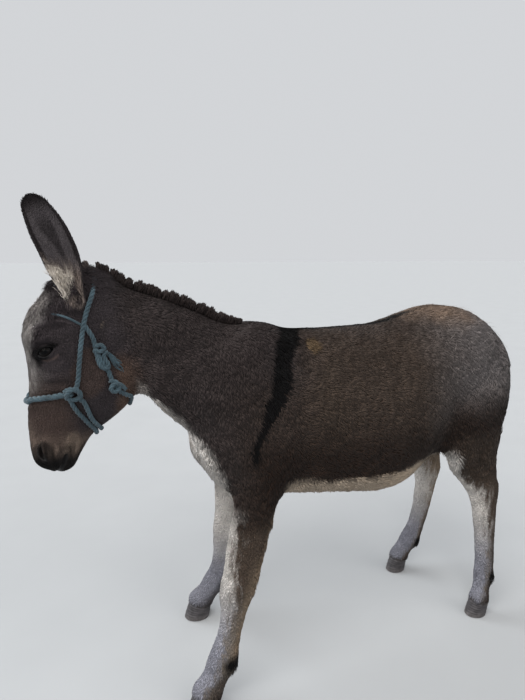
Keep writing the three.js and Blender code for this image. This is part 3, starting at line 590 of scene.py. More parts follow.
def ear_shell(side):
    """Points, triangles, and for each point its share of the height, its place from the ear's rear edge, -1,
    to its front edge, 1, and whether it is inside."""
    base, tip = (np.array(EAR[k], float) * (1, side, 1) for k in ("base", "tip"))
    axis = unit(tip - base)
    front = np.array(EAR["facing"]) * (1, side, 1)
    front = unit(front - (front @ axis) * axis)
    across = np.cross(axis, front)
    t = np.linspace(0, 1, EAR_ROWS)
    half, depth, wall = ear_profile(t, np.linalg.norm(tip - base))
    swing = np.concatenate([EAR_OUTER, EAR_INNER])
    inside = np.concatenate([np.zeros(len(EAR_OUTER)), np.ones(len(EAR_INNER))])
    angle = swing * math.pi / 2
    inward = np.outer(wall, inside)
    sideways = np.sin(angle) * (half[:, None] - inward)
    forward = depth[:, None] * (0.45 - np.cos(angle)) + inward * 1.1
    forward = forward + EAR["ripple"] * np.sin(angle * 5) * np.outer(np.sin(t * math.pi), inside)
    middle = base + np.outer(t, tip - base) + np.outer(np.sin(t * math.pi), (EAR["bend"], 0, 0))
    points = middle[:, None, :] + sideways[..., None] * across + forward[..., None] * front
    columns = len(swing)
    triangles = between_rings(EAR_ROWS, columns)
    last = EAR_ROWS * columns
    cap = np.array([(last, last - columns + j, last - columns + (j + 1) % columns) for j in range(columns)])
    triangles = np.vstack([triangles, cap])
    points = np.vstack([points.reshape(-1, 3), points[-1].mean(0)])
    if (normals_of(points, triangles)[:columns // 3] @ front).mean() > 0:
        triangles = triangles[:, ::-1]
    height = np.append(np.repeat(t, columns), 1)
    around = np.append(np.tile(swing, EAR_ROWS), 0) * side
    within = np.append(np.tile(inside, EAR_ROWS), 0)
    return points, triangles, height, around, within


# ---------------------------------------------------------------- markings
CHARCOAL = colour(59, 52, 51)
SHOULDER = colour(58, 48, 42)
BARREL_BROWN = colour(70, 59, 51)
# grey hair of the haunch, made paler as painted light on the rump
HAUNCH_GREY_AND_LIGHT = colour(118, 112, 111)
# dark brown hair, also used to paint shade low on the body and at the top of the legs
DARK_BROWN_AND_SHADE = colour(40, 29, 23)
BELLY = colour(178, 162, 144)
WHITE_HAIR = colour(206, 200, 194)
LEG_GREY = colour(136, 136, 145)
LEG_BROWN = colour(80, 68, 59)
LEG_TAN_AND_RIM_LIGHT = colour(136, 119, 101)
LEG_LOW = colour(120, 111, 102)
LEG_DARK = colour(52, 42, 38)
FACE = colour(63, 57, 59)
FACE_BROWN = colour(92, 74, 64)
MUZZLE_PALE = colour(106, 92, 83)
CHIN_PALE = colour(158, 140, 124)
BARE_DARK = colour(21, 19, 20)
# grizzled pale hair, also painted as rim light along the front of the face
FROST_AND_RIM_LIGHT = colour(176, 170, 166)
BLACK_HAIR = colour(10, 8, 8)
CREAM = colour(206, 198, 187)
EAR_DARK = colour(36, 32, 33)
EAR_GREY = colour(84, 79, 81)
TAN_SPOT = colour(112, 92, 66)
CROUP_TAN_AND_LIGHT = colour(140, 116, 96)
EAR_TAN = colour(112, 101, 95)

# Lines and edges of the markings in the side view: (x, z), or (z, x) for the chest's, which runs upward.
STRIPE = [(141, 1110), (104, 1090), (78, 1058), (64, 1004), (49, 940), (9, 866), (-15, 812), (-26, 755)]
STRIPE_HALF = [(0, 31), (0.35, 31), (0.6, 25), (0.74, 13), (1, 9)]  # at shares of its length
BELLY_EDGE = [(-100, 640), (60, 690), (134, 664), (303, 640), (405, 640), (522, 650), (640, 690), (700, 705)]
CHEST_EDGE = [
    (560, -80), (625, -74), (657, -84), (709, -101), (757, -122), (797, -142),
    (827, -167), (870, -204), (902, -240), (925, -265), (955, -300), (1010, -345),
]
WHORL = [(-417, -91, 1148), (-413, -90, 1160), (-403, -89, 1167), (-385, -87, 1171), (-363, -80, 1173)]


def spot(p, at, radii):
    """Near 1 inside an ellipsoid, and 0 outside it."""
    share = np.linalg.norm((p - np.array(at)) / radii, axis=1)
    return ramp(1.15 - share, 0, 0.3)


def leg_side(p):
    """For each point the side of the leg that is nearest: -1 left, 1 right."""
    gaps = {name: from_line(p, line)[0] for name, line in LEGS.items()}
    left = np.minimum(gaps["fore_left"], gaps["hind_left"])
    right = np.minimum(gaps["fore_right"], gaps["hind_right"])
    return np.where(left <= right, -1, 1)


def trunk_colour(p, n, wander):
    """The body's brown tones, with painted shade low on the barrel and thighs, and painted light on the
    haunch and along the top of the croup.
    """
    wx, _, wz = wander.T
    broad = noise(p, 130, 4)
    c = paint(CHARCOAL, SHOULDER, ramp(wx, -160, 20) * ramp(1080 - wz, 0, 200) * 0.8)
    c = paint(c, BARREL_BROWN, ramp(wx, 70, 230) * (0.75 + 0.25 * broad))
    # pale grey haunch: its own grey hair, brightened as painted light falling on the rump
    c = paint(c, HAUNCH_GREY_AND_LIGHT, ramp(wx, 500, 800) * (0.8 + 0.2 * broad))
    c = paint(c, CHARCOAL, ramp(wz, 1050, 1110) * 0.5 * ramp(wx, 60, 160) * ramp(690 - wx, 0, 220))
    # warm tan along the top of the croup: golden hairs, with painted light falling on it from behind
    c = paint(c, CROUP_TAN_AND_LIGHT, ramp(wz, 1085, 1150) * ramp(wx, 430, 700) * 0.7)
    # darker low on the barrel: painted shade under the body, over its brown hair
    c = paint(c, DARK_BROWN_AND_SHADE, ramp(880 - wz, 0, 170) * ramp(wx, -110, 40) * ramp(720 - wx, 0, 100) * 0.95)
    # dark band over the lower haunch and thigh, under a level edge: painted shadow, over darker brown hair
    c = paint(c, DARK_BROWN_AND_SHADE, ramp(970 - wz, 0, 200) * ramp(wx, 590, 710) * 0.97)
    c = paint(c, LEG_BROWN * 0.75, ramp(750 - wz, 0, 60) * ramp(wx, 700, 770) * 0.7)
    c = paint(c, TAN_SPOT, spot(p, (191, -96, 1066), (24, 40, 26)) * 0.55)
    return dark_cross(pale_parts(c, p, n, wander), p, n, wander)


def pale_parts(c, p, n, wander):
    """Adds the pale belly, thighs' insides and edges, space between the forelegs, and chest."""
    x, y, z = p.T
    wx, _, wz = wander.T
    edge = np.interp(wx, *np.array(BELLY_EDGE, float).T)
    under = ramp(edge - wz, -14, 16) * ramp(x, -110, -70) * ramp(660 - x, 0, 70)
    under = under * np.maximum(ramp(x, 70, 125), ramp(-n[:, 2], 0.3, 0.8))
    c = paint(c, BELLY, under)
    inner = ramp(-n[:, 1] * np.sign(y), 0.1, 0.6) * ramp(720 - wz, 0, 60)
    c = paint(c, WHITE_HAIR * 0.8, inner * ramp(x, 650, 710))
    c = paint(c, WHITE_HAIR, ramp(-n[:, 0], 0.5, 0.8) * ramp(710 - z, 0, 40) * ramp(x, 690, 720))
    c = paint(c, WHITE_HAIR * 0.9, inner * ramp(90 - x, 0, 60) * ramp(760 - z, 0, 40))
    edge = np.interp(wz, *np.array(CHEST_EDGE, float).T)
    chest = ramp(edge - (0.6 * x + 0.4 * wx), -12, 16) * ramp(z, 560, 620) * (1 - in_head(p, 12))
    return paint(c, WHITE_HAIR, chest * ramp(1030 - z, 0, 100))


def dark_cross(c, p, n, wander):
    """Adds the stripe over the shoulders, the line along the back and the dark crest."""
    x, y, z = p.T
    line = smooth_line([(a, 0, b) for a, b in STRIPE], 8)
    gap, along = from_line((wander * 0.25 + p * 0.75) * (1, 0, 1), line)
    width = np.interp(along, *np.array(STRIPE_HALF).T)
    c = paint(c, BLACK_HAIR, ramp(width - gap, -4, 4) * ramp(z, 748, 760))
    spine = ramp(10 + 5 * noise(p, 30, 6) - np.abs(y), -3, 3) * ramp(x, -60, 0) * ramp(n[:, 2], 0.1, 0.4)
    c = paint(c, BLACK_HAIR, spine * ramp(z, 950, 1000) * (1 - 0.65 * ramp(x, 560, 660)))
    crest = in_neck(p) * ramp(46 - np.abs(y), 0, 40) * ramp(n[:, 2], 0.0, 0.5)
    return paint(c, CHARCOAL * 0.85, crest)


def leg_colour(p, n):
    """Pale in front and inside, brown outside and behind, greyer towards the hooves, with painted rim light
    up the back of the forearms.
    """
    z = p[:, 2]
    hind = ramp(p[:, 0], 300, 500)
    rearward = n[:, 0]
    outward = n[:, 1] * leg_side(p)
    inner_weight = 0.6 - 0.95 * hind
    facing = -0.9 * rearward - 0.6 * np.maximum(outward, 0) - inner_weight * np.minimum(outward, 0)
    facing = facing + (noise(p * (1, 1, 0.12), 5, 5) - 0.5) * 0.8 + (noise(p, 26, 5) - 0.5) * 0.3
    upper = 0.25 + 0.15 * hind
    lower = -0.2 - 0.2 * hind
    limit = lower + (upper - lower) * ramp(z, 330 + 120 * hind, 460 + 140 * hind)
    pale = paint(LEG_GREY, WHITE_HAIR, ramp(z, 180, 440))
    brown = paint(LEG_BROWN, LEG_LOW, ramp(400 - z, 0, 180))
    low_rear = ramp(rearward, -0.1, 0.6) * ramp(z, 130, 180) * ramp(500 - z, 0, 140)
    brown = paint(brown, LEG_TAN_AND_RIM_LIGHT, low_rear * (1 - hind))
    # paler rear edge up each forearm: painted rim light from behind, over tan hair
    brown = paint(brown, LEG_TAN_AND_RIM_LIGHT, ramp(rearward, 0.5, 0.9) * ramp(z, 360, 420) * (1 - hind))
    brown = paint(brown, LEG_TAN_AND_RIM_LIGHT, hind * ramp(-outward, 0.2, 0.7))
    # darker at the top of the legs, under the body: brown hair, deepened as painted shade
    brown = paint(brown, DARK_BROWN_AND_SHADE, ramp(z, 500, 590) * (0.75 - 0.35 * hind) * ramp(0.7 - rearward, 0, 0.4))
    c = paint(brown, pale, ramp(facing, limit - 0.5, limit + 0.5))
    c = paint(c, WHITE_HAIR, hind * ramp(-rearward, 0.5, 0.8) * ramp(z, 400, 460))
    fetlock = ramp(rearward - 0.3 * np.abs(n[:, 1]), 0.1, 0.6) * ramp(190 - z, 0, 60)
    c = paint(c, LEG_DARK, fetlock * 0.85)
    c = paint(c, LEG_DARK, hind * ramp(rearward, -0.2, 0.4) * ramp(380 - z, 0, 140) * 0.75)
    c = paint(c, LEG_DARK, ramp(rearward, -0.5, 0.2) * ramp(150 - z, 0, 50) * 0.7)
    ergot = ramp(rearward, -0.3, 0.3) * hump(z, 150, 22)
    c = paint(c, BLACK_HAIR, ergot * 1.2)
    return paint(c, LEG_DARK, ramp(84 - z, 0, 20) * 0.5)


def on_the_face(p):
    """1 on the brow and the face, where they can be grizzled and take painted rim light, and 0 round the
    eyes.
    """
    return ramp(p[:, 2], 950, 1010) * ramp(1250 - p[:, 2], 0, 50) * ramp(from_eyes(p), 34, 54)


def head_colour(p, n, wander):
    """Dark face with a grizzled brow brightened by painted rim light at its front, a browner cheek, dark eye
    rims deepened by painted shade, and a pale muzzle with dark lips.
    """
    z = p[:, 2]
    wx, _, wz = wander.T
    both_sides = mirrored(wander)
    c = paint(FACE, FACE_BROWN, ramp(1060 - wz, 0, 90) * ramp(-wx - 470, 0, 60) * 0.5)
    c = paint(c, FACE_BROWN * 1.3, ramp(wx + 408, 0, 36) * ramp(1090 - wz, 0, 60) * 0.9)
    c = paint(c, FACE_BROWN, spot(both_sides, (-455, 92, 1030), (44, 60, 60)) * 0.4)
    c = paint(c, MUZZLE_PALE, ramp(885 - wz, 0, 60) * 0.9)
    nose = ramp(-n[:, 0], 0.5, 0.9) * ramp(930 - wz, 0, 60) * ramp(wz, 810, 850)
    c = paint(c, MUZZLE_PALE * 1.1, nose * 0.6)
    c = paint(c, CHIN_PALE, spot(both_sides, (-500, 44, 826), (30, 46, 40)) * 0.35)
    c = paint(c, BARE_DARK, spot(both_sides, (-525, 56, 790), (26, 50, 44)) * 0.6)
    c = paint(c, BARE_DARK, spot(both_sides, (-577, 58, 812), (28, 30, 36)) * 0.75)
    c = paint(c, BARE_DARK, ramp(822 - wz, 0, 34) * 0.96)
    c = paint(c, BARE_DARK, ramp(800 - wz, 0, 24) * ramp(-wx - 560, 0, 14) * 0.9)
    streak = ramp(noise(p * (1, 1, 0.12), 9, 16), 0.4, 0.65)
    c = c * (1 - 0.6 * (streak * ramp(858 - z, 0, 50) * ramp(z, 745, 775))[:, None])
    c = round_the_eyes(c, p)
    root = spot(both_sides, (-474, 94, 1222), (22, 30, 20))
    c = paint(c, EAR_TAN * 1.3, root * (0.1 + 0.8 * ramp(noise(p * (1, 1, 0.2), 7, 17), 0.35, 0.65)))
    # pale grizzled hair along the front of the face, made brighter where it faces forward: painted rim light
    reach = 0.3 * ramp(z, 1090, 1160)
    frost_and_rim_light = on_the_face(p) * ramp(-n[:, 0], 0.72 - reach, 0.95 - 0.5 * reach)
    return paint(c, FROST_AND_RIM_LIGHT, frost_and_rim_light * (0.15 + 0.75 * ramp(noise(p * (1, 1, 0.3), 6, 7), 0.25, 0.75)))


def round_the_eyes(c, p):
    """Adds the dark lids with painted shade under the brow round them, the browner crease below them and the
    dark stain at the front corner.
    """
    for side in SIDES.values():
        u, v, outward = from_the_eye(p, side)
        near = np.abs(outward) < 45
        crease = hump(v - 0.012 * (u - 4) ** 2, -23, 2.4)
        c = paint(c, FACE_BROWN * 1.5, crease * ramp(26 - np.abs(u - 4), 0, 8) * near * 0.35)
        # dark lid skin, and round it above the eye a painted shade from the brow
        below = v + 17 - 30 * ramp(u, -4, 38)
        dark = ramp(19 - v, 0, 6) * ramp(below, -4, 3) * ramp(40 - np.abs(u - 1), 0, 8)
        c = paint(c, BARE_DARK * 0.4, dark * near * 0.96)
        stain = np.hypot((u + 28) / 9, (v + 14) / 18)
        c = paint(c, BARE_DARK * 0.7, ramp(1.15 - stain, 0, 0.5) * near * 0.8)
    return c


def coat_colour(p, n):
    """The markings, and some painted light and shade: one colour for each point of coat and skin, from its
    place and the way it faces.
    """
    wander = p + 26 * (np.stack([noise(p, 45, s) for s in (1, 2, 3)], 1) - 0.5)
    c = trunk_colour(p, n, wander)
    c = paint(c, leg_colour(p, n), in_leg(p) * ramp(650 - p[:, 2], 0, 60))
    c = paint(c, head_colour(p, n, wander), in_head(p))
    tail = in_tail(p)
    c = paint(c, HAUNCH_GREY_AND_LIGHT * 0.8, tail)
    c = paint(c, BLACK_HAIR, tail * ramp(15 - np.abs(p[:, 1]), 0, 10) * ramp(n[:, 0], 0, 0.5))
    c = paint(c, CHIN_PALE, ramp(3.6 - from_line(p, smooth_line(WHORL, 3))[0], -1.5, 1.5) * 0.4)
    return c * (0.86 + 0.28 * noise(p, 24, 8))[:, None]


def ear_colour(p, height, around, within):
    """around runs from -1 at the ear's rear edge to 1 at its front edge."""
    grey = paint(EAR_GREY, EAR_DARK, ramp(height, 0.8, 0.96))
    half = 0.12 + 0.22 * ramp(height, 0.4, 0.8)
    # a dark stripe down the deep fold inside the ear: painted shade
    slit = ramp(half - np.abs(around - 0.3 * (height - 0.5)), -0.05, 0.1) * ramp(height, 0.34, 0.46)
    grey = paint(grey, EAR_DARK, slit * ramp(0.9 - height, 0, 0.2) * 0.7)
    rim = np.maximum(ramp(around, 0.66, 0.82), ramp(-around, 0.8, 0.92))
    inner = paint(grey, EAR_DARK, rim * ramp(height, 0.3, 0.42))
    streaks = noise(np.stack([around * 26, height * 9, around * 0], 1), 2, 13)
    border = 0.34 + 0.1 * around + 0.12 * (streaks - 0.5)
    inner = paint(inner, EAR_TAN, ramp(border - height, -0.1, 0.1))
    wool = ramp(border - height, -0.02, 0.14) * ramp(around, -0.3, 0.0) * (0.55 + 0.45 * streaks)
    inner = paint(inner, CREAM, wool)
    crease = hump(around, -0.26, 0.07) * ramp(0.36 - height, 0, 0.1) * ramp(height, 0.08, 0.16)
    inner = paint(inner, EAR_DARK, crease * 0.7)
    outer = paint(FACE, EAR_DARK, np.maximum(ramp(height, 0.6, 0.9), rim * 0.8))
    outer = paint(outer, CREAM, ramp(around, 0.75, 0.95) * ramp(0.3 - height, 0, 0.1) * 0.8)
    c = paint(outer, inner, within)
    return c * (0.85 + 0.3 * noise(p, 10, 12))[:, None]


# ---------------------------------------------------------------- lie of the coat
# How the hair lies: a place on the right side, the way it points there, and how far that reaches.
LIE = [
    ((-590, 30, 1130), (-0.1, 0.25, -1.0), 60),
    ((-560, 40, 1215), (-0.5, 0.5, 0.6), 60),
    ((-470, 80, 1150), (0.5, 0.1, -0.8), 70),
    ((-466, 94, 1212), (0.1, 0.3, -1.0), 30),
    ((-590, 40, 960), (0.1, 0.35, -1.0), 90),
    ((-480, 80, 1020), (0.45, 0, -0.9), 90),
    ((-400, 80, 950), (0.6, 0, -0.7), 80),
    ((-570, 50, 810), (0.25, 0.2, -1.0), 70),
    ((-360, 70, 1180), (0.8, 0, -0.5), 90),
    ((-250, 90, 1080), (0.65, 0, -0.75), 130),
    ((-150, 60, 840), (0.2, 0, -1.0), 120),
    ((-60, 130, 900), (0.45, 0, -0.9), 150),
    ((60, 150, 1040), (0.75, 0.2, -0.6), 120),
    ((0, 150, 720), (0.25, 0, -1.0), 120),
    ((250, 200, 950), (0.85, 0, -0.5), 200),
    ((400, 200, 750), (0.9, 0, -0.4), 200),
    ((560, 200, 900), (0.8, 0.05, -0.6), 180),
    ((660, 180, 760), (0.35, 0, -0.9), 110),
    ((700, 120, 1130), (0.85, 0.45, -0.2), 120),
    ((860, 160, 1000), (0.5, 0.1, -0.85), 150),
    ((960, 90, 850), (0.2, 0.1, -1.0), 130),
    ((780, 160, 700), (0.25, 0, -1.0), 120),
    ((400, 40, 530), (0.9, -0.2, -0.1), 160),
    ((-20, 150, 400), (0.05, 0, -1.0), 220),
    ((880, 130, 400), (0.05, 0, -1.0), 220),
    ((-100, 190, 120), (-0.2, 0, -1.0), 120),
    ((860, 160, 120), (-0.15, 0, -1.0), 120),
    ((1060, 0, 850), (0.05, 0, -1.0), 60),
]


def lie_of(p, n):
    """The way the hair points, along the skin."""
    q = mirrored(p)
    total = np.zeros_like(p)
    for at, way, reach in LIE:
        weight = np.exp(-(((q - at) / reach) ** 2).sum(1)) + 1e-6 / ((q - at) ** 2).sum(1)
        total += weight[:, None] * unit(np.array(way, float))
    total[:, 1] *= np.where(p[:, 1] < 0, -1.0, 1.0) * ramp(np.abs(p[:, 1]), 0, 28)
    total = unit(flat_on(unit(total), n))
    swirl = (noise(p, 70, 21) - 0.5) * 1.1 + (noise(p, 26, 22) - 0.5) * 0.8
    swirl = swirl * (1 - 0.5 * in_leg(p)) * (1 - 0.45 * in_head(p))
    return unit(turned(total, n, swirl))


# ---------------------------------------------------------------- tufts
PATCH = 0.003  # how wide one tuft is in the OFBake map
# Measures of the tufts on the trunk, neck, head, muzzle, legs and eyelids, for by_part.
TUFT_LENGTH = (29.0, 27.0, 11.5, 6.5, 14.0, 4.5)
TUFT_WIDTH = (4.2, 3.9, 1.9, 1.5, 2.9, 1.2)
TUFT_LIFT = (0.15, 0.15, 0.2, 0.16, 0.17, 0.18)
TUFT_SPACING = (4.3, 4.2, 2.5, 2.1, 3.5)
EAR_SPACING = 2.6
LASH_WIDTH = 0.7


def areas(points, triangles):
    a, b, c = (points[triangles[:, k]] for k in range(3))
    return np.linalg.norm(np.cross(b - a, c - a), axis=1) / 2


def scatter(points, triangles, allowed, spacing):
    """Random places, evenly spread on the allowed triangles, about one to each square of the spacing."""
    a, b, c = (points[triangles[:, k]] for k in range(3))
    wanted = areas(points, triangles) / spacing((a + b + c) / 3) ** 2 * allowed
    count = np.floor(wanted + rng.random(len(wanted))).astype(int)
    which = np.repeat(np.arange(len(triangles)), count)
    u, v = rng.random((2, len(which)))
    flip = u + v > 1
    u = np.where(flip, 1 - u, u)[:, None]
    v = np.where(flip, 1 - v, v)[:, None]
    return which, u, v


def mixed(values, triangles, which, u, v):
    """Values given at the corners, at places inside the triangles."""
    t = triangles[which]
    shape = (-1,) + (1,) * (values.ndim - 1)
    u, v = u.reshape(shape), v.reshape(shape)
    return values[t[:, 0]] * (1 - u - v) + values[t[:, 1]] * u + values[t[:, 2]] * v


def lock_triangles(stops):
    """The triangles of one lock: a point at its root, three points at each stop, and a point at its tip."""
    faces = [(0, 1, 2), (0, 2, 3), (0, 3, 1)]
    for a in range(1, 3 * stops - 8, 3):
        for i, j in ((0, 1), (1, 2), (2, 0)):
            faces += [(a + i, a + j + 3, a + j), (a + i, a + i + 3, a + j + 3)]
    a = 3 * stops - 8
    return np.array([*faces, (a, a + 3, a + 1), (a + 1, a + 3, a + 2), (a + 2, a + 3, a)])


def locks(name, paths, side, widths, colours, tips, places, material):
    """Closed locks of hair, pointed at both ends. paths holds each lock's points from root to tip, side the
    way it is wide, widths its width at each point between, and places its root's place in the OFBake map."""
    n, stops, _ = paths.shape
    along = unit(paths[:, -1] - paths[:, 0])
    up = unit(np.cross(side, along))
    half = side[:, None, :] * widths[:, :, None] / 2
    middle = paths[:, 1:-1]
    ridge = middle + up[:, None, :] * (widths[:, :, None] * 0.36)
    rows = [paths[:, 0]]
    uv = [(0, 0)]
    for k in range(stops - 2):
        rows += [middle[:, k] - half[:, k], middle[:, k] + half[:, k], ridge[:, k]]
        level = (k + 1) / (stops - 1)
        uv += [(-0.5, level), (0.5, level), (0, level)]
    rows.append(paths[:, -1])
    uv.append((0, 1))
    each = len(rows)
    triangles = (lock_triangles(stops)[None] + (np.arange(n) * each)[:, None, None]).reshape(-1, 3)
    level = np.array([v for _, v in uv])
    # each lock darker towards its root: painted shade among the hairs
    shade = 0.8 + 0.2 * ramp(level, 0, 0.5)
    vertex_colours = colours[:, None, :] * shade[None, :, None]
    vertex_colours = vertex_colours + (tips - colours)[:, None, :] * (level**1.5)[None, :, None]
    points = np.stack(rows, 1).reshape(-1, 3)
    thing = make_object(name, material, points, triangles, vertex_colours.reshape(-1, 3).clip(0, 1))
    layer = thing.data.uv_layers.new(name="OFBake")
    local = np.array(uv) * PATCH
    corner_uv = (places[:, None, :] + local[None]).reshape(-1, 2)[triangles.ravel()]
    layer.data.foreach_set("uv", corner_uv.astype(np.float32).ravel())
    return thing


def in_map(places):
    """Places from 0 to 1 in the OFBake map, moved in from its edges by a tuft."""
    return places * (1 - 2 * PATCH) + PATCH


def around_line(p, start, end):
    """An unwrap about a line: the angle round it, and the way along it, both from 0 to 1."""
    start, end = np.array(start, float), np.array(end, float)
    axis = unit(end - start)
    first = unit(np.cross(axis, (0.0, 1.0, 0.0)))
    second = np.cross(axis, first)
    offset = p - start
    angle = np.arctan2(offset @ second, offset @ first) / (2 * math.pi) + 0.5
    along = (offset @ axis) / np.linalg.norm(end - start)
    return in_map(np.stack([angle, along.clip(0, 1)], 1))


COAT_REGIONS = {  # the regions of the coat, and the line that each is unwrapped about
    "coat_neck": ((-420, 0, 1150), (0, 0, 850)),
    "coat_shoulders": ((-200, 0, 860), (320, 0, 820)),
    "coat_barrel": ((160, 0, 820), (700, 0, 850)),
    "coat_croup": ((560, 0, 860), (1080, 0, 900)),
    "coat_head": ((-440, 0, 1300), (-540, 0, 820)),
    "coat_muzzle": ((-520, 0, 900), (-540, 0, 730)),
    "coat_fore_left": ((0, -136, 700), (-180, -190, 40)),
    "coat_fore_right": ((22, 134, 700), (-80, 226, 40)),
    "coat_hind_left": ((860, -120, 735), (889, -166, 40)),
    "coat_hind_right": ((828, 120, 735), (784, 184, 40)),
    "coat_tail": ((1050, 0, 1000), (1075, 0, 680)),
}
# Each of these regions comes as a left and a right piece.
IN_HALVES = ("coat_neck", "coat_shoulders", "coat_barrel", "coat_croup", "coat_head")


def region_of(p):
    """The coat piece that each point belongs to, as a number in COAT_REGIONS' order."""
    names = list(COAT_REGIONS)
    x, y, _ = p.T
    found = np.full(len(p), names.index("coat_barrel"))
    found[x < 250] = names.index("coat_shoulders")
    found[x > 600] = names.index("coat_croup")
    found[in_neck(p) > 0.5] = names.index("coat_neck")
    found[in_head(p) > 0.5] = names.index("coat_head")
    found[in_muzzle(p) > 0.5] = names.index("coat_muzzle")
    leg = in_leg(p) > 0.5
    for name in LEGS:
        fore = (x < 400) if name.startswith("fore") else (x >= 400)
        side = (y < 0) if name.endswith("left") else (y >= 0)
        found[leg & fore & side] = names.index(f"coat_{name}")
    found[in_tail(p) > 0.5] = names.index("coat_tail")
    return found


def tuft_size(p, n):
    """Length, width and lift of the tufts at each place."""
    x, _, z = p.T
    head, leg = in_head(p), in_leg(p)
    trunk = (1 - head) * (1 - leg)
    length = by_part(p, *TUFT_LENGTH)
    lift = by_part(p, *TUFT_LIFT)
    shag = head * ramp(z, 1030, 1150) * ramp(-n[:, 0], 0.0, 0.5) + head * ramp(z, 1225, 1260)
    ear_root = head * spot(mirrored(p), (-474, 90, 1222), (26, 34, 24))
    length = length * (1 + 1.1 * shag) * (1 + 0.3 * ear_root)
    lift = lift + 0.16 * shag + 0.1 * ear_root
    feather = leg * ramp(n[:, 0], 0.4, 0.8) * ramp(z, 280, 360) * ramp(300 - x, 0, 50)
    length = length * (1 + 0.8 * feather)
    lift = lift + 0.2 * feather
    lift = lift * (1 - 0.4 * trunk * ramp(-40 - x, 0, 40) * ramp(900 - z, 0, 60))
    ergot = leg * ramp(n[:, 0], 0.1, 0.6) * hump(z, 144, 24)
    coronet = leg * ramp(80 - z, 0, 24)
    under = trunk * ramp(-n[:, 2] - 0.6 * n[:, 0], 0.3, 0.8) * (1 - in_muzzle(p))
    length = length * (1 + 0.9 * ergot + 0.35 * coronet + 0.35 * under)
    lift = lift + 0.22 * ergot + 0.12 * under
    return length, by_part(p, *TUFT_WIDTH), lift


def spacing_at(p):
    return by_part(p, *TUFT_SPACING) * 1.0


def tuft_paths(root, normal, way, length, lift, sunk, tip_lift, gather=0.0):
    """Each tuft's sunk root, its middle and its tip."""
    middle = root + way * (length * 0.45)[:, None] + normal * (length * lift * 0.7)[:, None]
    tip = root + way * length[:, None] + normal * (length * lift * tip_lift)[:, None]
    return np.stack([root - normal * sunk, middle + gather * 0.3, tip + gather], 1)


def clear_of(ropes, p):
    """True where no rope presses on the hair."""
    clear = np.ones(len(p), bool)
    for line, radius in ropes:
        near = np.linalg.norm(p - line.mean(0), axis=1) < np.ptp(line, axis=0).max() + 20
        gap, _ = from_line(p[near], line[::4])
        clear[near] &= (gap > radius + ROPE_ROOM) | (p[near, 2] > HAIR_OVER)
    return clear


def grow_coat(points, triangles, normals, bare, material, ropes):
    """All the tufts of the body, in pieces by region."""
    allowed = (bare[triangles].mean(1) < 0.5) & clear_of(ropes, points[triangles].mean(1))
    which, u, v = scatter(points, triangles, allowed, spacing_at)
    root = mixed(points, triangles, which, u, v)
    normal = unit(mixed(normals, triangles, which, u, v))
    count = len(root)
    way = unit(turned(lie_of(root, normal), normal, rng.normal(0, 0.2, count)))
    length, width, lift = tuft_size(root, normal)
    clump = noise(root, 19, 31)
    length = length * (0.75 + 0.3 * clump + 0.2 * rng.random(count))
    width = width * (0.75 + 0.5 * rng.random(count))
    lift = lift * (0.6 + 0.65 * noise(root, 30, 32) + 0.25 * rng.random(count))
    slope = np.stack([noise(root + step, 19, 31) - clump for step in np.eye(3) * 4], 1)
    gather = flat_on(slope, normal) * (length * 0.9)[:, None]
    tone = (0.9 + 0.16 * clump + rng.normal(0, 0.05, count)).clip(0.6, 1.4)
    tone = tone * np.where(rng.random(count) < 0.03, 1.2, 1.0)
    base = coat_colour(root, normal) * tone[:, None]
    # tips paler along the front of the face: grizzled hair and painted rim light
    frost_and_rim_light = in_head(root) * on_the_face(root) * ramp(-normal[:, 0], 0.45, 0.9)
    tips = paint(base * 1.08, FROST_AND_RIM_LIGHT, frost_and_rim_light * 0.6)
    paths = tuft_paths(root, normal, way, length, lift, 0.8, 0.9, gather)
    hair = (root, paths, unit(np.cross(normal, way)), width[:, None], base, tips)
    region = region_of(root)
    left = root[:, 1] < 0
    for number, (name, line) in enumerate(COAT_REGIONS.items()):
        sides = {"_left": left, "_right": ~left} if name in IN_HALVES else {"": True}
        for ending, on_side in sides.items():
            mine = (region == number) & on_side
            roots, *rest = (part[mine] for part in hair)
            piece = locks(name + ending, *rest, around_line(roots, *line), material)
            print(name + ending, mine.sum(), "tufts")


def grow_swirls(points, triangles, normals, count, material):
    """A few long pale hairs that curl on the croup, as in a winter coat that is being shed."""
    middle = points[triangles].mean(1)
    on_croup = (middle[:, 0] > 590) & (middle[:, 0] < 960) & (middle[:, 2] > 960)
    chance = areas(points, triangles) * on_croup
    which = rng.choice(len(triangles), count, p=chance / chance.sum())
    root, normal = middle[which], unit(normals[triangles[which, 0]])
    way = unit(turned(lie_of(root, normal), normal, rng.normal(0, 0.5, count)))
    bend = np.cross(normal, way) * rng.choice([-1, 1], count)[:, None]
    length = rng.uniform(40, 80, count)[:, None]
    paths = [root - normal]
    for share, rise, curl in ((0.25, 3.5, 0.03), (0.5, 5.5, 0.12), (0.78, 6.5, 0.3), (1.0, 6.5, 0.5)):
        paths.append(root + way * length * share + normal * rise + bend * length * curl)
    side = unit(np.cross(normal, way))
    widths = rng.uniform(1.0, 1.5, count)[:, None] * np.array([1, 1, 0.8])
    base = coat_colour(root, normal) * rng.uniform(1.1, 1.45, count)[:, None]
    places = around_line(root, *COAT_REGIONS["coat_croup"])
    piece = locks("coat_swirls", np.stack(paths, 1), side, widths, base, base * 1.3, places, material)


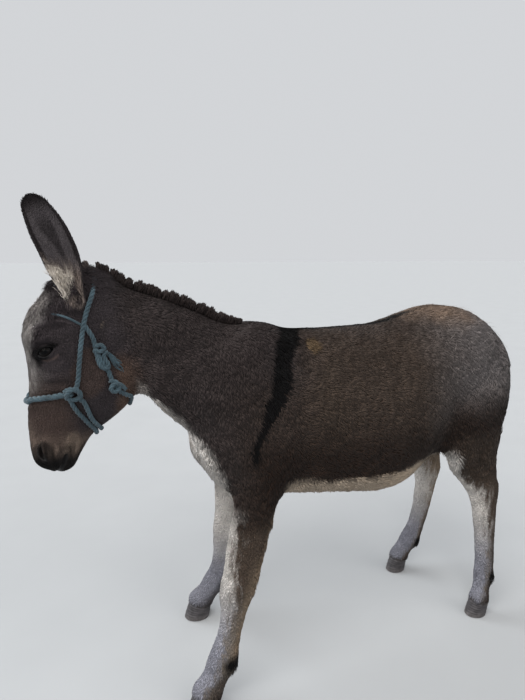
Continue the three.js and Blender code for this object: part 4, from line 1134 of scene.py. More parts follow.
def ear_hair(side, points, triangles, height, around, within):
    """One ear's tufts: paths, sides, widths, colours, tips and places in the OFBake map."""
    above = height[triangles].mean(1) > 0.03
    spacing = EAR_SPACING
    which, u, v = scatter(points, triangles, above, lambda p: spacing)
    root = mixed(points, triangles, which, u, v)
    normal = unit(mixed(normals_of(points, triangles), triangles, which, u, v))
    h, a, w = (mixed(values, triangles, which, u, v) for values in (height, around, within))
    inner = w > 0.5
    count = len(root)
    axis = unit((np.array(EAR["tip"], float) - EAR["base"]) * (1, side, 1))
    way = unit(flat_on(axis + rng.normal(0, 0.22, (count, 3)), normal))
    wool = inner * ramp(0.34 + 0.12 * a - h, 0, 0.2) * ramp(h, 0.02, 0.1)
    fringe = ramp(np.abs(a), 0.8, 0.95) * inner
    length = np.where(inner, 7 + 12 * wool + 4 * fringe, 6) * (0.7 + 0.6 * rng.random(count))
    length = length * (1 - 0.5 * ramp(h, 0.85, 1))
    lift = np.where(inner, 0.25 + 0.3 * wool, 0.18) * (0.6 + 0.8 * rng.random(count))
    base = ear_colour(root, h, a, inner.astype(float)) * rng.normal(1, 0.1, count).clip(0.7, 1.3)[:, None]
    paths = tuft_paths(root, normal, way, length, lift, 0.6, 1.0)
    places = np.stack([(a * 0.5 + 0.5) * 0.24 + 0.25 * inner + 0.5 * (side > 0), h], 1)
    widths = np.where(inner, 1.2, 1.9)[:, None]
    return paths, unit(np.cross(normal, way)), widths, base, base * 1.12, in_map(places)


def grow_ears(shells, material):
    """Short hair outside the ears, and longer woolly hair inside them, palest at the root."""
    parts = [ear_hair(SIDES[name], *shell) for name, shell in shells.items()]
    hair = [np.concatenate(column) for column in zip(*parts)]
    piece = locks("coat_ears", *hair, material)
    print("coat_ears", len(hair[0]), "tufts")


def grow_lashes(count, material):
    """Short dark lashes along each upper lid."""
    parts = []
    for side in SIDES.values():
        centre, out, rear, up = eye_axes(side)
        x, y = lid_outline(rng.uniform(0.12, 0.86, count) * math.pi)
        lift = np.sqrt(LID_SPHERE[1] ** 2 - x**2 - y**2)
        root = centre + np.outer(x, rear) + np.outer(y, up) + np.outer(lift, out)
        rearward = x / LID["half_long"] * 0.5 + rng.normal(0, 0.1, count)
        way = unit(out + np.outer(rearward, rear) - up * 0.25)
        length = rng.uniform(6, 10, count)[:, None]
        paths = [root - out, root + way * length * 0.5 - up * 0.6, root + way * length + up * 0.8]
        parts.append((np.stack(paths, 1), unit(np.cross(way, up))))
    paths, sides = (np.concatenate(column) for column in zip(*parts))
    widths = np.full((len(paths), 1), LASH_WIDTH)
    dark = np.tile(BLACK_HAIR, (len(paths), 1))
    places = around_line(paths[:, 0], *COAT_REGIONS["coat_head"])
    piece = locks("lashes", paths, sides, widths, dark, dark, places, material)


# ---------------------------------------------------------------- mane, forelock and tail
CREST = [(-413, 0, 1270), (-330, 0, 1244), (-240, 0, 1212), (-150, 0, 1172), (-60, 0, 1136), (4, 0, 1116)]
MANE_HEIGHT = [(0, 30), (0.1, 32), (0.5, 37), (0.85, 37), (1, 20)]
MANE_LEAN = [(0, -0.4), (0.1, -0.1), (1, -0.1)]  # along the line, at shares of its length
FORELOCK_LINE = [(-426, 0, 1290), (-448, 0, 1284), (-468, 0, 1278), (-488, 0, 1269)]
FORELOCK_HEIGHT = [(0, 30), (0.3, 34), (0.6, 28), (1, 20)]
FORELOCK_LEAN = [(0, 0), (1, 1.2)]
MANE_CLUMP = (3.0, 10.0)  # the least and most width of a clump
MANE_CLUMPS = 100  # more than a line can hold
MANE_HALF = 15.0  # half the mane's width at its root
MANE_SHADES = (colour(18, 15, 15), colour(52, 44, 42))  # the darkest and the palest hairs
FORELOCK_SHADES = (colour(46, 40, 39), colour(106, 96, 92))


def clumps_at(reach):
    """For hairs so far along: how far each is from its clump's middle, and its clump's random values."""
    width = rng.uniform(*MANE_CLUMP, MANE_CLUMPS)
    ends = np.cumsum(width)
    clump = np.searchsorted(ends, reach)
    aside = np.abs(1 - 2 * (ends[clump] - reach) / width[clump])
    return aside, rng.random((MANE_CLUMPS + 1, 3))[clump]


def on_the_crest(skin, point, sideways, rise):
    """The place on the skin under a point that has been moved sideways."""
    start = Vector(point + np.array([0, sideways, 0]) + rise * 40)
    hit = skin.ray_cast(start, Vector(-rise))[0]
    return np.array(hit) if hit is not None else point


def grow_mane(name, line, count, height, lean, shades, skin, material):
    """Upright brick-cut locks along a line on the crest, in clumps that share a height."""
    line = smooth_line(line, 2)
    share = np.sort(rng.random(count))
    pick = share * (len(line) - 1)
    i = pick.astype(int).clip(0, len(line) - 2)
    at = line[i] + (line[i + 1] - line[i]) * (pick - i)[:, None]
    along = unit(line[i + 1] - line[i])
    up = unit(np.cross(along, (0.0, 1.0, 0.0)))
    up[up[:, 2] < 0] *= -1
    aside, of_clump = clumps_at(np.linalg.norm(at - line[0], axis=1))
    across = rng.uniform(-1, 1, count) * MANE_HALF * (1 - 0.6 * (2 * share - 1) ** 4)
    root = np.array([on_the_crest(skin, *place) for place in zip(at, across, up)])
    edge = np.abs(across / MANE_HALF)
    tall = np.interp(share, *np.array(height).T) * (0.84 + 0.22 * of_clump[:, 0])
    tall = tall * (1 - 0.12 * aside**2) * (1 - 0.12 * edge**2) * (0.72 + 0.34 * rng.random(count))
    forward = (of_clump[:, 1] - 0.5) * 0.5 + np.interp(share, *np.array(lean).T)
    outward = across / MANE_HALF * (0.16 + 0.3 * edge**3) + rng.normal(0, 0.07, count)
    way = unit(up + along * forward[:, None] + np.outer(outward, (0, 1, 0)))
    curve = along * ((of_clump[:, 2] - 0.35) * 5 + rng.normal(0, 2, count))[:, None]
    paths = [root - up * 2]
    for part, bent in ((0.3, 0.0), (0.65, 0.4), (0.92, 0.85), (1.0, 1.0)):
        paths.append(root + way * (tall * part)[:, None] + curve * bent)
    turn = rng.random(count) * math.pi
    side = unit(along * np.cos(turn)[:, None] + np.outer(np.sin(turn), (0.0, 1.0, 0.0)))
    widths = rng.uniform(2.2, 4.2, count)[:, None] * np.array([1.0, 1.0, 0.85])
    tone = rng.normal(1, 0.15, count).clip(0.6, 1.5)[:, None]
    base = (shades[0] + (shades[1] - shades[0]) * rng.random(count)[:, None]) * tone
    places = in_map(np.stack([(across / MANE_HALF + 1) / 2, share], 1))
    at_root = (base + CHARCOAL) / 2
    piece = locks(name, np.stack(paths, 1), side, widths, at_root, base * 1.2, places, material)
    return piece


TAIL_ROOT = 1075.0  # how far back the switch hangs, at its root and at its tip
TAIL_TIP = 1067.0
TAIL_RADIUS = 19.0
TAIL_BROWN = colour(62, 46, 38)  # its palest hairs
TAIL_WISPS = 9  # loose hairs that curl away behind the dock
WISPS = np.array(
    [(1071, 0, 905), (1090, -6, 888), (1100, -10, 866), (1096, -12, 842), (1100, -12, 822), (1106, -12, 806)]
)


def grow_tail(count, material):
    """Long hair from the end of the dock, hanging in a tapering switch."""
    angle = rng.random(count) * 2 * math.pi
    start = rng.uniform(700, 862, count)
    out = np.stack([np.cos(angle), np.sin(angle), np.zeros(count)], 1)
    root = np.stack([np.full(count, TAIL_ROOT), np.zeros(count), start], 1) + out * TAIL_RADIUS
    end = rng.uniform(452, 560, count)
    end = np.where(rng.random(count) < 0.3, start - rng.uniform(90, 160, count), end)
    tip_radius = np.where(end < 540, 9, 24) * rng.random(count)
    tip = np.stack([np.full(count, TAIL_TIP), np.zeros(count), end], 1) + out * tip_radius[:, None]
    belly = out * rng.uniform(3, 11, count)[:, None]
    wave = rng.normal(0, 3, (2, count, 3)) * (1, 1, 0)
    paths = [root - out * 1.5]
    for share in (0.18, 0.42, 0.68, 0.9):
        point = root + (tip - root) * share + belly * math.sin(share * math.pi)
        paths.append(point + wave[0] * math.sin(share * 5) + wave[1] * math.sin(share * 9 + 1))
    paths = np.stack([*paths, tip], 1)
    wisps = WISPS + rng.normal(0, 7, (TAIL_WISPS, 1, 3)) + rng.normal(0, 3, (TAIL_WISPS, len(WISPS), 3))
    paths[:TAIL_WISPS, 1:] = wisps[:, 1:]
    paths[:TAIL_WISPS, 0] = wisps[:, 0] * (0, 1, 1) + (TAIL_ROOT - 4, 0, 0)
    side = unit(np.cross(out, (0.0, 0.0, 1.0)))
    widths = rng.uniform(2.6, 5.2, count)[:, None] * np.array([1, 1, 0.9, 0.6])
    tone = rng.normal(1, 0.25, count).clip(0.4, 1.8)[:, None]
    base = (BLACK_HAIR + (TAIL_BROWN - BLACK_HAIR) * rng.random(count)[:, None] ** 2) * tone
    places = in_map(np.stack([angle / (2 * math.pi), (start - 690) / 180], 1))
    piece = locks("tail_hair", paths, side, widths, base, base * 1.4, places, material)
    return piece


# ---------------------------------------------------------------- eyes and hooves
IRIS = colour(12, 9, 8)
PUPIL = colour(5, 5, 6)


def make_eye(name, side, material):
    """An eyeball with its cornea, as a ball whose front bulges a little."""
    centre, out, rear, up = eye_axes(side)
    rings, columns = 40, 64
    polar = np.linspace(0, math.pi, rings)[:, None]
    around = np.arange(columns) / columns * 2 * math.pi
    radius = EYE_RADIUS - 0.1 + 0.9 * hump(polar, 0, 0.55) * np.ones(columns)
    ring = np.sin(polar) * radius
    points = centre + (np.cos(polar) * radius)[..., None] * out
    points = points + (ring * np.cos(around))[..., None] * rear + (ring * np.sin(around))[..., None] * up
    points = points.reshape(-1, 3)
    u, v, _ = from_the_eye(points, side)
    c = paint(IRIS, PUPIL, ramp(1.15 - np.hypot(u / 9.0, v / 5.0), 0, 0.25))
    c = paint(c, PUPIL * 1.5, ramp(np.repeat(polar.ravel(), columns), 0.62, 0.8))
    faces = between_rings(rings, columns)
    if side > 0:
        faces = faces[:, ::-1]
    thing = make_object(name, material, points, faces, c)
    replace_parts(thing, f"eye_{'left' if side < 0 else 'right'}")


HOOF = {
    "toe": 62,
    "heel": 38,
    "half_top": 42,
    # Shares of the height: half the length, half the width, and how far forward.
    "levels": [(0, 46, 37, 13), (0.06, 48, 39, 13), (0.55, 45, 38, 6), (1, 41, 37, 0)],
}
HIND_SCALE = 0.86
HORN_TOP = colour(52, 49, 51)
HORN_WORN = colour(76, 72, 72)
HORN_RIM = colour(44, 39, 37)


def hoof_outline(angle):
    """How far the outline is drawn in at each angle: flatter at the heel, with a notch between its bulbs."""
    from_heel = np.minimum(angle, 2 * math.pi - angle)
    return (1 - 0.1 * np.clip(np.cos(angle), 0, 1) ** 2) * (1 - 0.08 * hump(from_heel, 0, 0.35))


def make_hoof(leg, material):
    """Horn with growth rings, worn at the lower edge, and a soft rim that runs up into the hair."""
    x, y, _ = LEGS[leg][-1]
    scale = 1 if leg.startswith("fore") else HIND_SCALE
    shares = np.concatenate([[0, 0, 0.008, 0.03], np.linspace(0.06, 1.0, 44), [1.06, 1.16, 1.3]])
    inset = np.concatenate([[60, 4, 1.2, 0.2], np.zeros(44), [-0.6, 1.0, 7.0]])
    columns = 64
    angle = np.arange(columns) / columns * 2 * math.pi
    outline = hoof_outline(angle)
    slope = (HOOF["toe"] - HOOF["heel"]) / (2 * HOOF["half_top"])
    levels = np.array(HOOF["levels"], float).T
    rows = []
    for share, moved_in in zip(shares, inset):
        length, width, ahead = (np.interp(share, levels[0], level) for level in levels[1:])
        rings = (0.45 * math.sin(share * 46) + 0.3 * math.sin(share * 23 + 1)) * (0.1 < share < 1)
        ridges = rings + 0.25 * np.sin(angle * 31) * (share < 1)
        half_length = np.maximum(1.0, length * scale - moved_in + ridges)
        half_width = np.maximum(1.0, width * scale - moved_in + ridges)
        dx = np.cos(angle) * half_length * outline
        top = (HOOF["toe"] + HOOF["heel"]) / 2 - dx * slope
        rows.append(np.stack([x - ahead + dx, y + np.sin(angle) * half_width, share * top], 1))
    points = np.vstack([*rows, rows[-1].mean(0, keepdims=True)])
    last = (len(rows) - 1) * columns
    cap = np.array([(last + (j + 1) % columns, last + j, len(points) - 1) for j in range(columns)])
    height = np.append(np.repeat(shares, columns), shares[-1])
    c = paint(HORN_TOP, HORN_WORN, ramp(0.5 - height, 0, 0.5))
    c = paint(c, HORN_RIM, ramp(height, 0.9, 1.05))
    c = c * (0.8 + 0.4 * noise(points * (1, 1, 3), 9, 41))[:, None]
    faces = np.vstack([between_rings(len(rows), columns), cap])
    thing = make_object(f"horn_{leg}", material, points, faces, c)
    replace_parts(thing, f"{leg}_hoof")


# ---------------------------------------------------------------- the halter
HALTER_SIDES = {  # routes in the side view, laid on both sides, and the points that join them
    "headstall": (
        [
            (-419, 1272), (-424, 1252), (-432, 1226), (-444, 1196), (-456, 1158),
            (-466, 1112), (-473, 1064), (-478, 1015), (-484, 986),
        ],
        [(-416, 26, 1292), (-415, 0, 1297), (-416, -26, 1292)],
        ROPE_RADIUS,
    ),
    "noseband": (
        [(-590, 954), (-570, 961), (-540, 968), (-513, 975), (-492, 978)],
        [(-606, 24, 948), (-611, 0, 947), (-606, -24, 948)],
        NOSEBAND_RADIUS,
    ),
    "throat": (
        [
            (-348, 947), (-362, 958), (-384, 978), (-397, 1006), (-406, 1032),
            (-424, 1066), (-432, 1092), (-439, 1122), (-455, 1150),
        ],
        [(-334, 30, 912), (-326, 0, 902), (-334, -30, 912)],
        ROPE_RADIUS,
    ),
    "chin_front": (
        [(-442, 858), (-452, 876), (-466, 899), (-479, 919), (-492, 943), (-500, 966)],
        [(-436, 22, 843), (-433, 0, 838), (-436, -22, 843)],
        ROPE_RADIUS,
    ),
    "chin_rear": (
        [(-426, 860), (-440, 883), (-451, 908), (-458, 932), (-466, 952), (-480, 966)],
        [(-418, 22, 846), (-416, 0, 841), (-418, -22, 846)],
        ROPE_RADIUS,
    ),
}
BROWBAND = [(-528, 1181), (-512, 1178), (-492, 1171), (-470, 1158), (-460, 1152)]
# Knots, as turns of rope laid on the head: [x, z, lift].
SIDE_KNOT = [  # round the meeting of the noseband and the headstall
    (-510, 984, 2), (-494, 990, 6), (-476, 984, 5), (-474, 970, 3), (-488, 962, 5),
    (-503, 970, 8), (-500, 984, 9), (-484, 992, 8), (-474, 978, 4),
]
THROAT_KNOT = [  # a loop between two knots, and the strand's return
    (-436, 1098, 6), (-422, 1100, 8), (-413, 1090, 6), (-425, 1083, 8), (-436, 1088, 5),
    (-431, 1074, 3), (-428, 1056, 2), (-420, 1040, 3), (-408, 1036, 6), (-404, 1046, 6),
    (-412, 1062, 4), (-414, 1076, 5), (-404, 1080, 8),
]
SECOND_KNOT = [
    (-404, 1004, 5), (-388, 998, 7), (-380, 984, 6), (-392, 974, 7),
    (-402, 984, 8), (-392, 996, 10), (-376, 988, 7), (-366, 974, 4),
]
FRAY = {"from": (-404, 1080), "to": (-374, 1034), "strands": 26}
YARN_RADIUS = 1.1
ROPE_STRANDS = 3
ROPE_PITCH = 5.6  # length of one turn of the lay, in rope radii
ROPE_GAP = 0.8  # hair pressed flat between the rope and the skin
ROPE_ROOM = 2.5  # how far beside a rope the hair begins
HAIR_OVER = 1236  # the coat grows over the ropes above this level
SUNK = 8.0  # how much deeper the headstall lies there


def laid_on(skin, x, z, side, lift):
    """A point of the side view, laid on the skin of one side of the head."""
    hit, normal = skin.ray_cast(Vector((x, side * 260, z)), Vector((0, -side, 0)))[:2]
    if hit is None:
        return np.array([x, side * 30.0, z])
    return np.array(hit) + np.array(normal) * lift


def drawn_to(skin, point, lift):
    """The nearest place on the skin, and a lift out from it."""
    hit, normal = skin.find_nearest(Vector(point))[:2]
    return np.array(hit) + np.array(normal) * lift


ROPE_BLUE = colour(40, 58, 66)
ROPE_FADED = colour(60, 79, 88)


def rope_colour(p, seed):
    worn = ROPE_BLUE + (ROPE_FADED - ROPE_BLUE) * noise(p, 40, 54)[:, None]
    return worn * (0.75 + 0.5 * noise(p, 9, seed))[:, None]


def frames_along(line):
    """Two directions across a line at each of its points, which turn with it."""
    along = unit(np.gradient(line, axis=0))
    first = np.cross(along[0], (0.3, 0.5, 0.8))
    across = []
    for way in along:
        first = unit(first - (first @ way) * way)
        across.append(first)
    across = np.array(across)
    return across, np.cross(along, across)


def strand_tube(line, radius, sides=7):
    """A closed tube round a line: points, triangles and colours. radius is one value or one a point."""
    across, third = frames_along(line)
    around = np.arange(sides) / sides * 2 * math.pi
    ring = np.cos(around)[None, :, None] * across[:, None] + np.sin(around)[None, :, None] * third[:, None]
    thick = np.broadcast_to(radius, (len(line),))
    rings = (line[:, None] + ring * thick[:, None, None]).reshape(-1, 3)
    first_end, base = len(rings), (len(line) - 1) * sides
    caps = [(first_end, (j + 1) % sides, j) for j in range(sides)]
    caps += [(first_end + 1, base + j, base + (j + 1) % sides) for j in range(sides)]
    faces = np.vstack([between_rings(len(line), sides), caps])
    points = np.vstack([rings, line[:1], line[-1:]])
    return points, faces, rope_colour(points, 51)


def twisted_rope(name, points, radius, material):
    """A laid rope: strands that wind round a smooth line."""
    line = smooth_line(points, 2.6)
    across, third = frames_along(line)
    travelled = np.concatenate([[0], np.cumsum(np.linalg.norm(np.diff(line, axis=0), axis=1))])
    turn = travelled / (ROPE_PITCH * radius) * 2 * math.pi
    tubes = []
    for k in range(ROPE_STRANDS):
        angle = (turn + k / ROPE_STRANDS * 2 * math.pi)[:, None]
        middle = line + (across * np.cos(angle) + third * np.sin(angle)) * radius * 0.48
        wear = radius * 0.54 * (1 + 0.06 * np.sin(travelled * 0.31 + k * 2))
        tubes.append(strand_tube(middle, wear))
    thing = make_object(name, material, *joined(tubes))
    return thing


def halter_lines(skin):
    """Every rope of the halter: its name, centreline, radius, and the solid that it stands for."""
    found = []
    for name, (route, middle, radius) in HALTER_SIDES.items():
        lift = radius + ROPE_GAP
        sunk = [SUNK * np.clip((z - HAIR_OVER) / 16, 0, 1) * (name == "headstall") for _, z in route]
        right, left = (
            [laid_on(skin, x, z, side, lift - low) for (x, z), low in zip(route, sunk)] for side in (1, -1)
        )
        deeper = {"noseband": 2, "headstall": SUNK * 1.4}.get(name, 0)
        over = [drawn_to(skin, point, lift - deeper) for point in middle]
        found.append((f"rope_{name}", [*right[::-1], *over, *left], radius, f"halter_{name}"))
    for name, side in SIDES.items():
        route = [laid_on(skin, x, z, side, BROWBAND_RADIUS + 1.0) for x, z in BROWBAND]
        found.append((f"rope_browband_{name}", route, BROWBAND_RADIUS, f"halter_browband_{name}"))
        turns = [laid_on(skin, x, z, side, ROPE_RADIUS + lift) for x, z, lift in SIDE_KNOT]
        found.append((f"rope_knot_{name}", turns, ROPE_RADIUS, f"halter_knot_{name}"))
    for name, knot in (("rope_throat_knot", THROAT_KNOT), ("rope_second_knot", SECOND_KNOT)):
        turns = [laid_on(skin, x, z, -1, ROPE_RADIUS + lift) for x, z, lift in knot]
        found.append((name, turns, ROPE_RADIUS * 0.92, "halter_throat_knot"))
    return found


def frayed_end(skin, material):
    """The loose end of the throat strand, opened out into yarns."""
    (ax, az), (bx, bz) = FRAY["from"], FRAY["to"]
    yarns = []
    for _ in range(FRAY["strands"]):
        aside = rng.normal(0, 1, 2)
        wave = rng.normal(0, 2.5, (5, 2))
        reach = rng.uniform(0.55, 1.1)
        route = []
        for k in range(5):
            t = k / 4 * reach
            x = ax + (bx - ax) * t + aside[0] * 9 * t + wave[k, 0] * (k > 0)
            z = az + (bz - az) * t + aside[1] * 9 * t + wave[k, 1] * (k > 0)
            route.append(laid_on(skin, x, z, -1, 6 + 4 * math.sin(t * 3) + aside[0] * 2 * t))
        points, faces, shade = strand_tube(smooth_line(route, 4), YARN_RADIUS, 5)
        yarns.append((points, faces, shade * rng.uniform(0.9, 1.35)))
    thing = make_object("rope_frayed_end", material, *joined(yarns))
    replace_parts(thing, "halter_throat_knot")


# ---------------------------------------------------------------- materials
def feed(tree, node, **inputs):
    """Sets a node's inputs to values, or links them from sockets. Their names have _ for a space."""
    for name, value in inputs.items():
        socket = node.inputs[name.replace("_", " ")]
        if isinstance(value, bpy.types.NodeSocket):
            tree.links.new(value, socket)
        else:
            socket.default_value = value


def add_node(tree, kind, settings=(), **inputs):
    node = tree.nodes.new(f"ShaderNode{kind}")
    for key, value in dict(settings).items():
        setattr(node, key, value)
    feed(tree, node, **inputs)
    return node


def new_material(name, **inputs):
    material = bpy.data.materials.new(name)
    material.use_nodes = True
    tree = material.node_tree
    shader = tree.nodes["Principled BSDF"]
    feed(tree, shader, **inputs)
    return material, tree, shader


def grain(tree, scale, detail, stretch=(1, 1, 1)):
    """Fine noise in the object's own space, stretched."""
    where = add_node(tree, "TexCoord").outputs["Object"]
    place = add_node(tree, "Mapping", Vector=where, Scale=stretch).outputs["Vector"]
    return add_node(tree, "TexNoise", Vector=place, Scale=scale, Detail=detail).outputs["Fac"]


def spread(tree, value, low, high):
    """A value from 0.3 to 0.7 spread over low to high."""
    limits = {"From_Min": 0.3, "From_Max": 0.7, "To_Min": low, "To_Max": high}
    return add_node(tree, "MapRange", Value=value, **limits).outputs["Result"]


def shaded(tree, value, low, high):
    """The piece's own colours, each times a factor that follows a value."""
    read = add_node(tree, "Attribute", {"attribute_name": "Coat"})
    factor = spread(tree, value, low, high)
    scale = add_node(tree, "VectorMath", {"operation": "SCALE"}, Vector=read.outputs["Color"], Scale=factor)
    return scale.outputs["Vector"]


def raised(tree, height, strength, distance):
    """A normal that follows a height."""
    return add_node(tree, "Bump", Height=height, Strength=strength, Distance=distance).outputs["Normal"]


def grained_material(name, grain_of, shades, bump=None, **inputs):
    """A material in the piece's own colours, shaded and raised by one grain."""
    material, tree, shader = new_material(name, **inputs)
    fibres = grain(tree, *grain_of)
    feed(tree, shader, Base_Color=shaded(tree, fibres, *shades))
    if bump:
        feed(tree, shader, Normal=raised(tree, fibres, *bump))
    return material


def hair_material(name, roughness, sheen):
    looks = {"Roughness": roughness, "Specular_IOR_Level": 0.08}
    looks |= {"Sheen_Weight": sheen, "Sheen_Roughness": 0.4}
    return grained_material(name, (900, 2.0), (0.84, 1.16), (0.35, 0.0006), **looks)


def rope_material():
    looks = {"Roughness": 0.75, "Specular_IOR_Level": 0.3, "Sheen_Weight": 0.15}
    return grained_material("laid_rope", (1100, 3.0, (1, 1, 0.5)), (0.7, 1.25), (0.8, 0.0008), **looks)


def eye_material():
    return grained_material("wet_eye", (700, 3.0), (0.7, 1.3), Roughness=0.12, Specular_IOR_Level=0.07)


def skin_material():
    """Dull where hair grows and a little moist where it is bare."""
    material, tree, shader = new_material("skin", Specular_IOR_Level=0.15)
    strands = grain(tree, 520, 4.0, (1, 1, 0.35))
    pores = grain(tree, 380, 2.0)
    both = add_node(tree, "Math", {"operation": "ADD"})
    tree.links.new(strands, both.inputs[0])
    tree.links.new(pores, both.inputs[1])
    bare = add_node(tree, "Attribute", {"attribute_name": "Bare"}).outputs["Fac"]
    dull = add_node(tree, "MapRange", Value=bare, To_Min=0.86, To_Max=0.42).outputs["Result"]
    bump = raised(tree, both.outputs["Value"], 0.6, 0.0012)
    feed(tree, shader, Base_Color=shaded(tree, strands, 0.72, 1.0), Roughness=dull, Normal=bump)
    return material


def horn_material():
    """Dirty horn, in places polished, with fine upright lines."""
    material, tree, shader = new_material("horn", Specular_IOR_Level=0.4)
    lines = grain(tree, 420, 4.0, (1, 1, 0.12))
    dirt = shaded(tree, grain(tree, 60, 4.0), 0.6, 1.3)
    worn = spread(tree, lines, 0.45, 0.75)
    feed(tree, shader, Base_Color=dirt, Roughness=worn, Normal=raised(tree, lines, 0.5, 0.0006))
    return material


def floor_material():
    material, tree, shader = new_material("floor", Roughness=0.9, Specular_IOR_Level=0.1)
    tint = add_node(tree, "Mix", {"data_type": "RGBA"}, Factor=grain(tree, 3.0, 3.0))
    tint.inputs[6].default_value, tint.inputs[7].default_value = FLOOR
    feed(tree, shader, Base_Color=tint.outputs[2])
    return material


# ---------------------------------------------------------------- the donkey
FLESH_ROUNDS = 60  # of smoothing, so that no edge of the solids shows
FLESH_STRENGTH = (0.06, 0.44)  # on the head, legs and tail, and how much more on the trunk


def build_skin():
    """The skin's points, triangles and bare places, and a tree of its surface without the lids."""
    points, quads = flesh_in_one()
    least, more = FLESH_STRENGTH
    strength = least + more * (1 - in_head(points)) * (1 - in_leg(points)) * (1 - in_tail(points))
    points = rounded(points, quads, FLESH_ROUNDS, strength)
    points = rounded(points, quads, 3, np.full(len(points), 0.5))
    points, triangles = refined(points, quads, in_head(points, 10) > 0.5)
    points = smoothed(points, edges_of(triangles), 4, 0.5 * in_head(points))
    fine = (in_muzzle(points) > 0.3) & (points[:, 2] < 850)
    points, triangles = refined(points, triangles, fine | (from_eyes(points) < 50))
    points = smoothed(points, edges_of(triangles), 3, 0.5 * in_head(points))
    points = points - normals_of(points, triangles) * by_part(points, *COAT_DEPTH)[:, None]
    points = smoothed(points, edges_of(triangles), 2, np.full(len(points), 0.4))
    points, bare = shape_the_head(points, normals_of(points, triangles))
    tree = BVHTree.FromPolygons(points.tolist(), triangles.tolist())
    return points, triangles, bare, tree


def face_with_lids(points, triangles, bare, tree):
    """The skin and the lids in one: points, triangles, colours, bare places, and places without hair."""
    lids = [lid_patch(side, tree) for side in SIDES.values()]
    points = sink_under_lids(points)
    shade = paint(coat_colour(points, normals_of(points, triangles)), BARE_DARK * 0.6, bare * 0.8)
    parts = [(points, triangles, shade, bare, np.maximum(bare, under_the_lids(points)))]
    for points, triangles, bare in lids:
        shade = paint(coat_colour(points, normals_of(points, triangles)), BARE_DARK * 0.4, bare)
        parts.append((points, triangles, shade, bare, np.where(bare > 0.3, 1.0, 0.0)))
    return joined(parts)


# How many hairs of each kind there are.
MANE_HAIRS = 4800
FORELOCK_HAIRS = 1000
TAIL_HAIRS = 2200
LASHES = 70
SWIRLS = 120


def grow_hair(points, triangles, hairless, shells, ropes, tree):
    """All the hair. The order is that of the random draws."""
    coat = hair_material("coat", 0.8, 0.015)
    long_hair = hair_material("long_hair", 0.6, 0.01)
    normals = normals_of(points, triangles)
    grow_coat(points, triangles, normals, hairless, coat, ropes)
    grow_ears(shells, coat)
    grow_lashes(LASHES, long_hair)
    grow_swirls(points, triangles, normals, SWIRLS, coat)
    mane = (CREST, MANE_HAIRS, MANE_HEIGHT, MANE_LEAN, MANE_SHADES)
    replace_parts(grow_mane("mane_hair", *mane, tree, long_hair), "mane")
    forelock = (FORELOCK_LINE, FORELOCK_HAIRS, FORELOCK_HEIGHT, FORELOCK_LEAN, FORELOCK_SHADES)
    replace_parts(grow_mane("forelock_hair", *forelock, tree, long_hair), "forelock")
    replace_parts(grow_tail(TAIL_HAIRS, long_hair), "tail_switch")


def build_donkey():
    """Every piece of the donkey and its halter."""
    skin_points, skin_triangles, skin_bare, tree = build_skin()
    points, triangles, colours, bare, hairless = face_with_lids(skin_points, skin_triangles, skin_bare, tree)
    shells = {name: ear_shell(side) for name, side in SIDES.items()}
    parts = [(points, triangles, colours, bare)]
    for ear, faces, *place in shells.values():
        parts.append((ear, faces, ear_colour(ear, *place), np.zeros(len(ear))))
    skin = make_object("skin", skin_material(), *joined(parts))
    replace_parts(skin, *TRUNK_PARTS, "ear_left", "ear_right", *LEG_PARTS)
    ropes = halter_lines(tree)
    lines = [(smooth_line(line, 4), radius) for _, line, radius, _ in ropes]
    grow_hair(points, triangles, hairless, shells, lines, tree)
    eye = eye_material()
    for name, side in SIDES.items():
        make_eye(f"eyeball_{name}", side, eye)
    horn = horn_material()
    for leg in LEGS:
        make_hoof(leg, horn)
    rope = rope_material()
    for name, line, radius, solid in ropes:
        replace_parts(twisted_rope(name, line, radius, rope), solid)
    frayed_end(tree, rope)


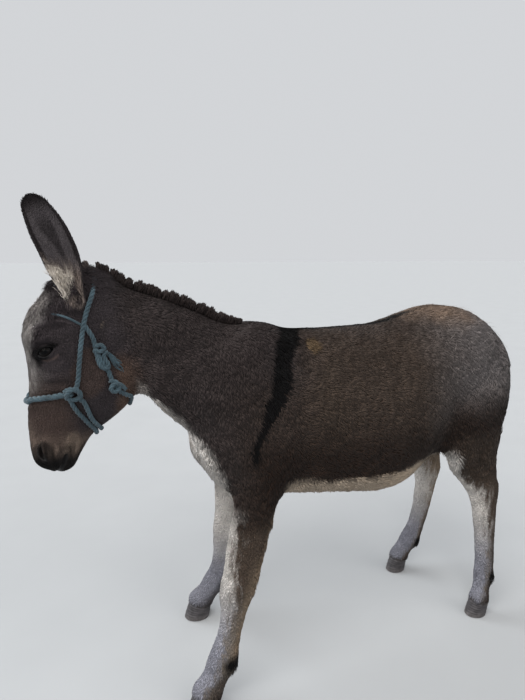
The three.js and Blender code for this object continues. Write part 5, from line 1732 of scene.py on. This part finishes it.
# ---------------------------------------------------------------- floor, lights and camera
SUN_SPREAD = 0.9  # radians across, for soft shadows
SUNS = {  # where each comes from, its strength and its tint
    "key": ((-0.6, -0.45, 0.7), 2.6, (1.0, 0.98, 0.95)),
    "rim": ((-0.75, 0.6, 0.6), 2.4, (0.95, 0.98, 1.0)),
    "fill": ((0.5, -0.75, 0.6), 1.0, (1.0, 0.97, 0.93)),
}
SKY = (0.9, 0.92, 0.95, 1)
SKY_STRENGTH = 0.72
FLOOR_HALF = 90.0  # metres
FLOOR = ((0.35, 0.36, 0.37, 1), (0.38, 0.39, 0.4, 1))


def soft_sun(name, coming_from, strength, tint):
    light = bpy.data.lights.new(name, "SUN")
    light.angle = SUN_SPREAD
    light.energy = strength
    light.color = tint
    lamp = bpy.data.objects.new(name, light)
    lamp.rotation_euler = (-Vector(coming_from)).to_track_quat("-Z", "Y").to_euler()
    bpy.context.scene.collection.objects.link(lamp)


def build_stage():
    mesh = bpy.data.meshes.new("floor")
    far = FLOOR_HALF
    corners = [(-far, -far, 0), (far, -far, 0), (far, far, 0), (-far, far, 0)]
    mesh.from_pydata(corners, [], [(0, 1, 2, 3)])
    mesh.materials.append(floor_material())
    floor = bpy.data.objects.new("floor", mesh)
    bpy.context.scene.collection.objects.link(floor)
    sky = bpy.data.worlds.new("studio")
    sky.use_nodes = True
    sky.node_tree.nodes["Background"].inputs["Color"].default_value = SKY
    sky.node_tree.nodes["Background"].inputs["Strength"].default_value = SKY_STRENGTH
    bpy.context.scene.world = sky
    for name, sun in SUNS.items():
        soft_sun(name, *sun)
    bpy.context.scene.view_settings.view_transform = "Standard"


def build_camera():
    data = bpy.data.cameras.new("camera")
    data.lens = LENS
    data.sensor_width = SENSOR
    data.clip_start = 0.05
    data.clip_end = 200
    camera = bpy.data.objects.new("camera", data)
    camera.location = Vector(world(CAMERA))
    pitch = math.radians(CAMERA_PITCH)
    flat = unit(np.array(CAMERA_HEADING))
    look = Vector((flat[0] * math.cos(pitch), flat[1] * math.cos(pitch), -math.sin(pitch)))
    camera.rotation_euler = look.to_track_quat("-Z", "Y").to_euler()
    bpy.context.scene.collection.objects.link(camera)
    bpy.context.scene.camera = camera


build_donkey()
build_stage()
build_camera()

bpy.context.view_layer.update()
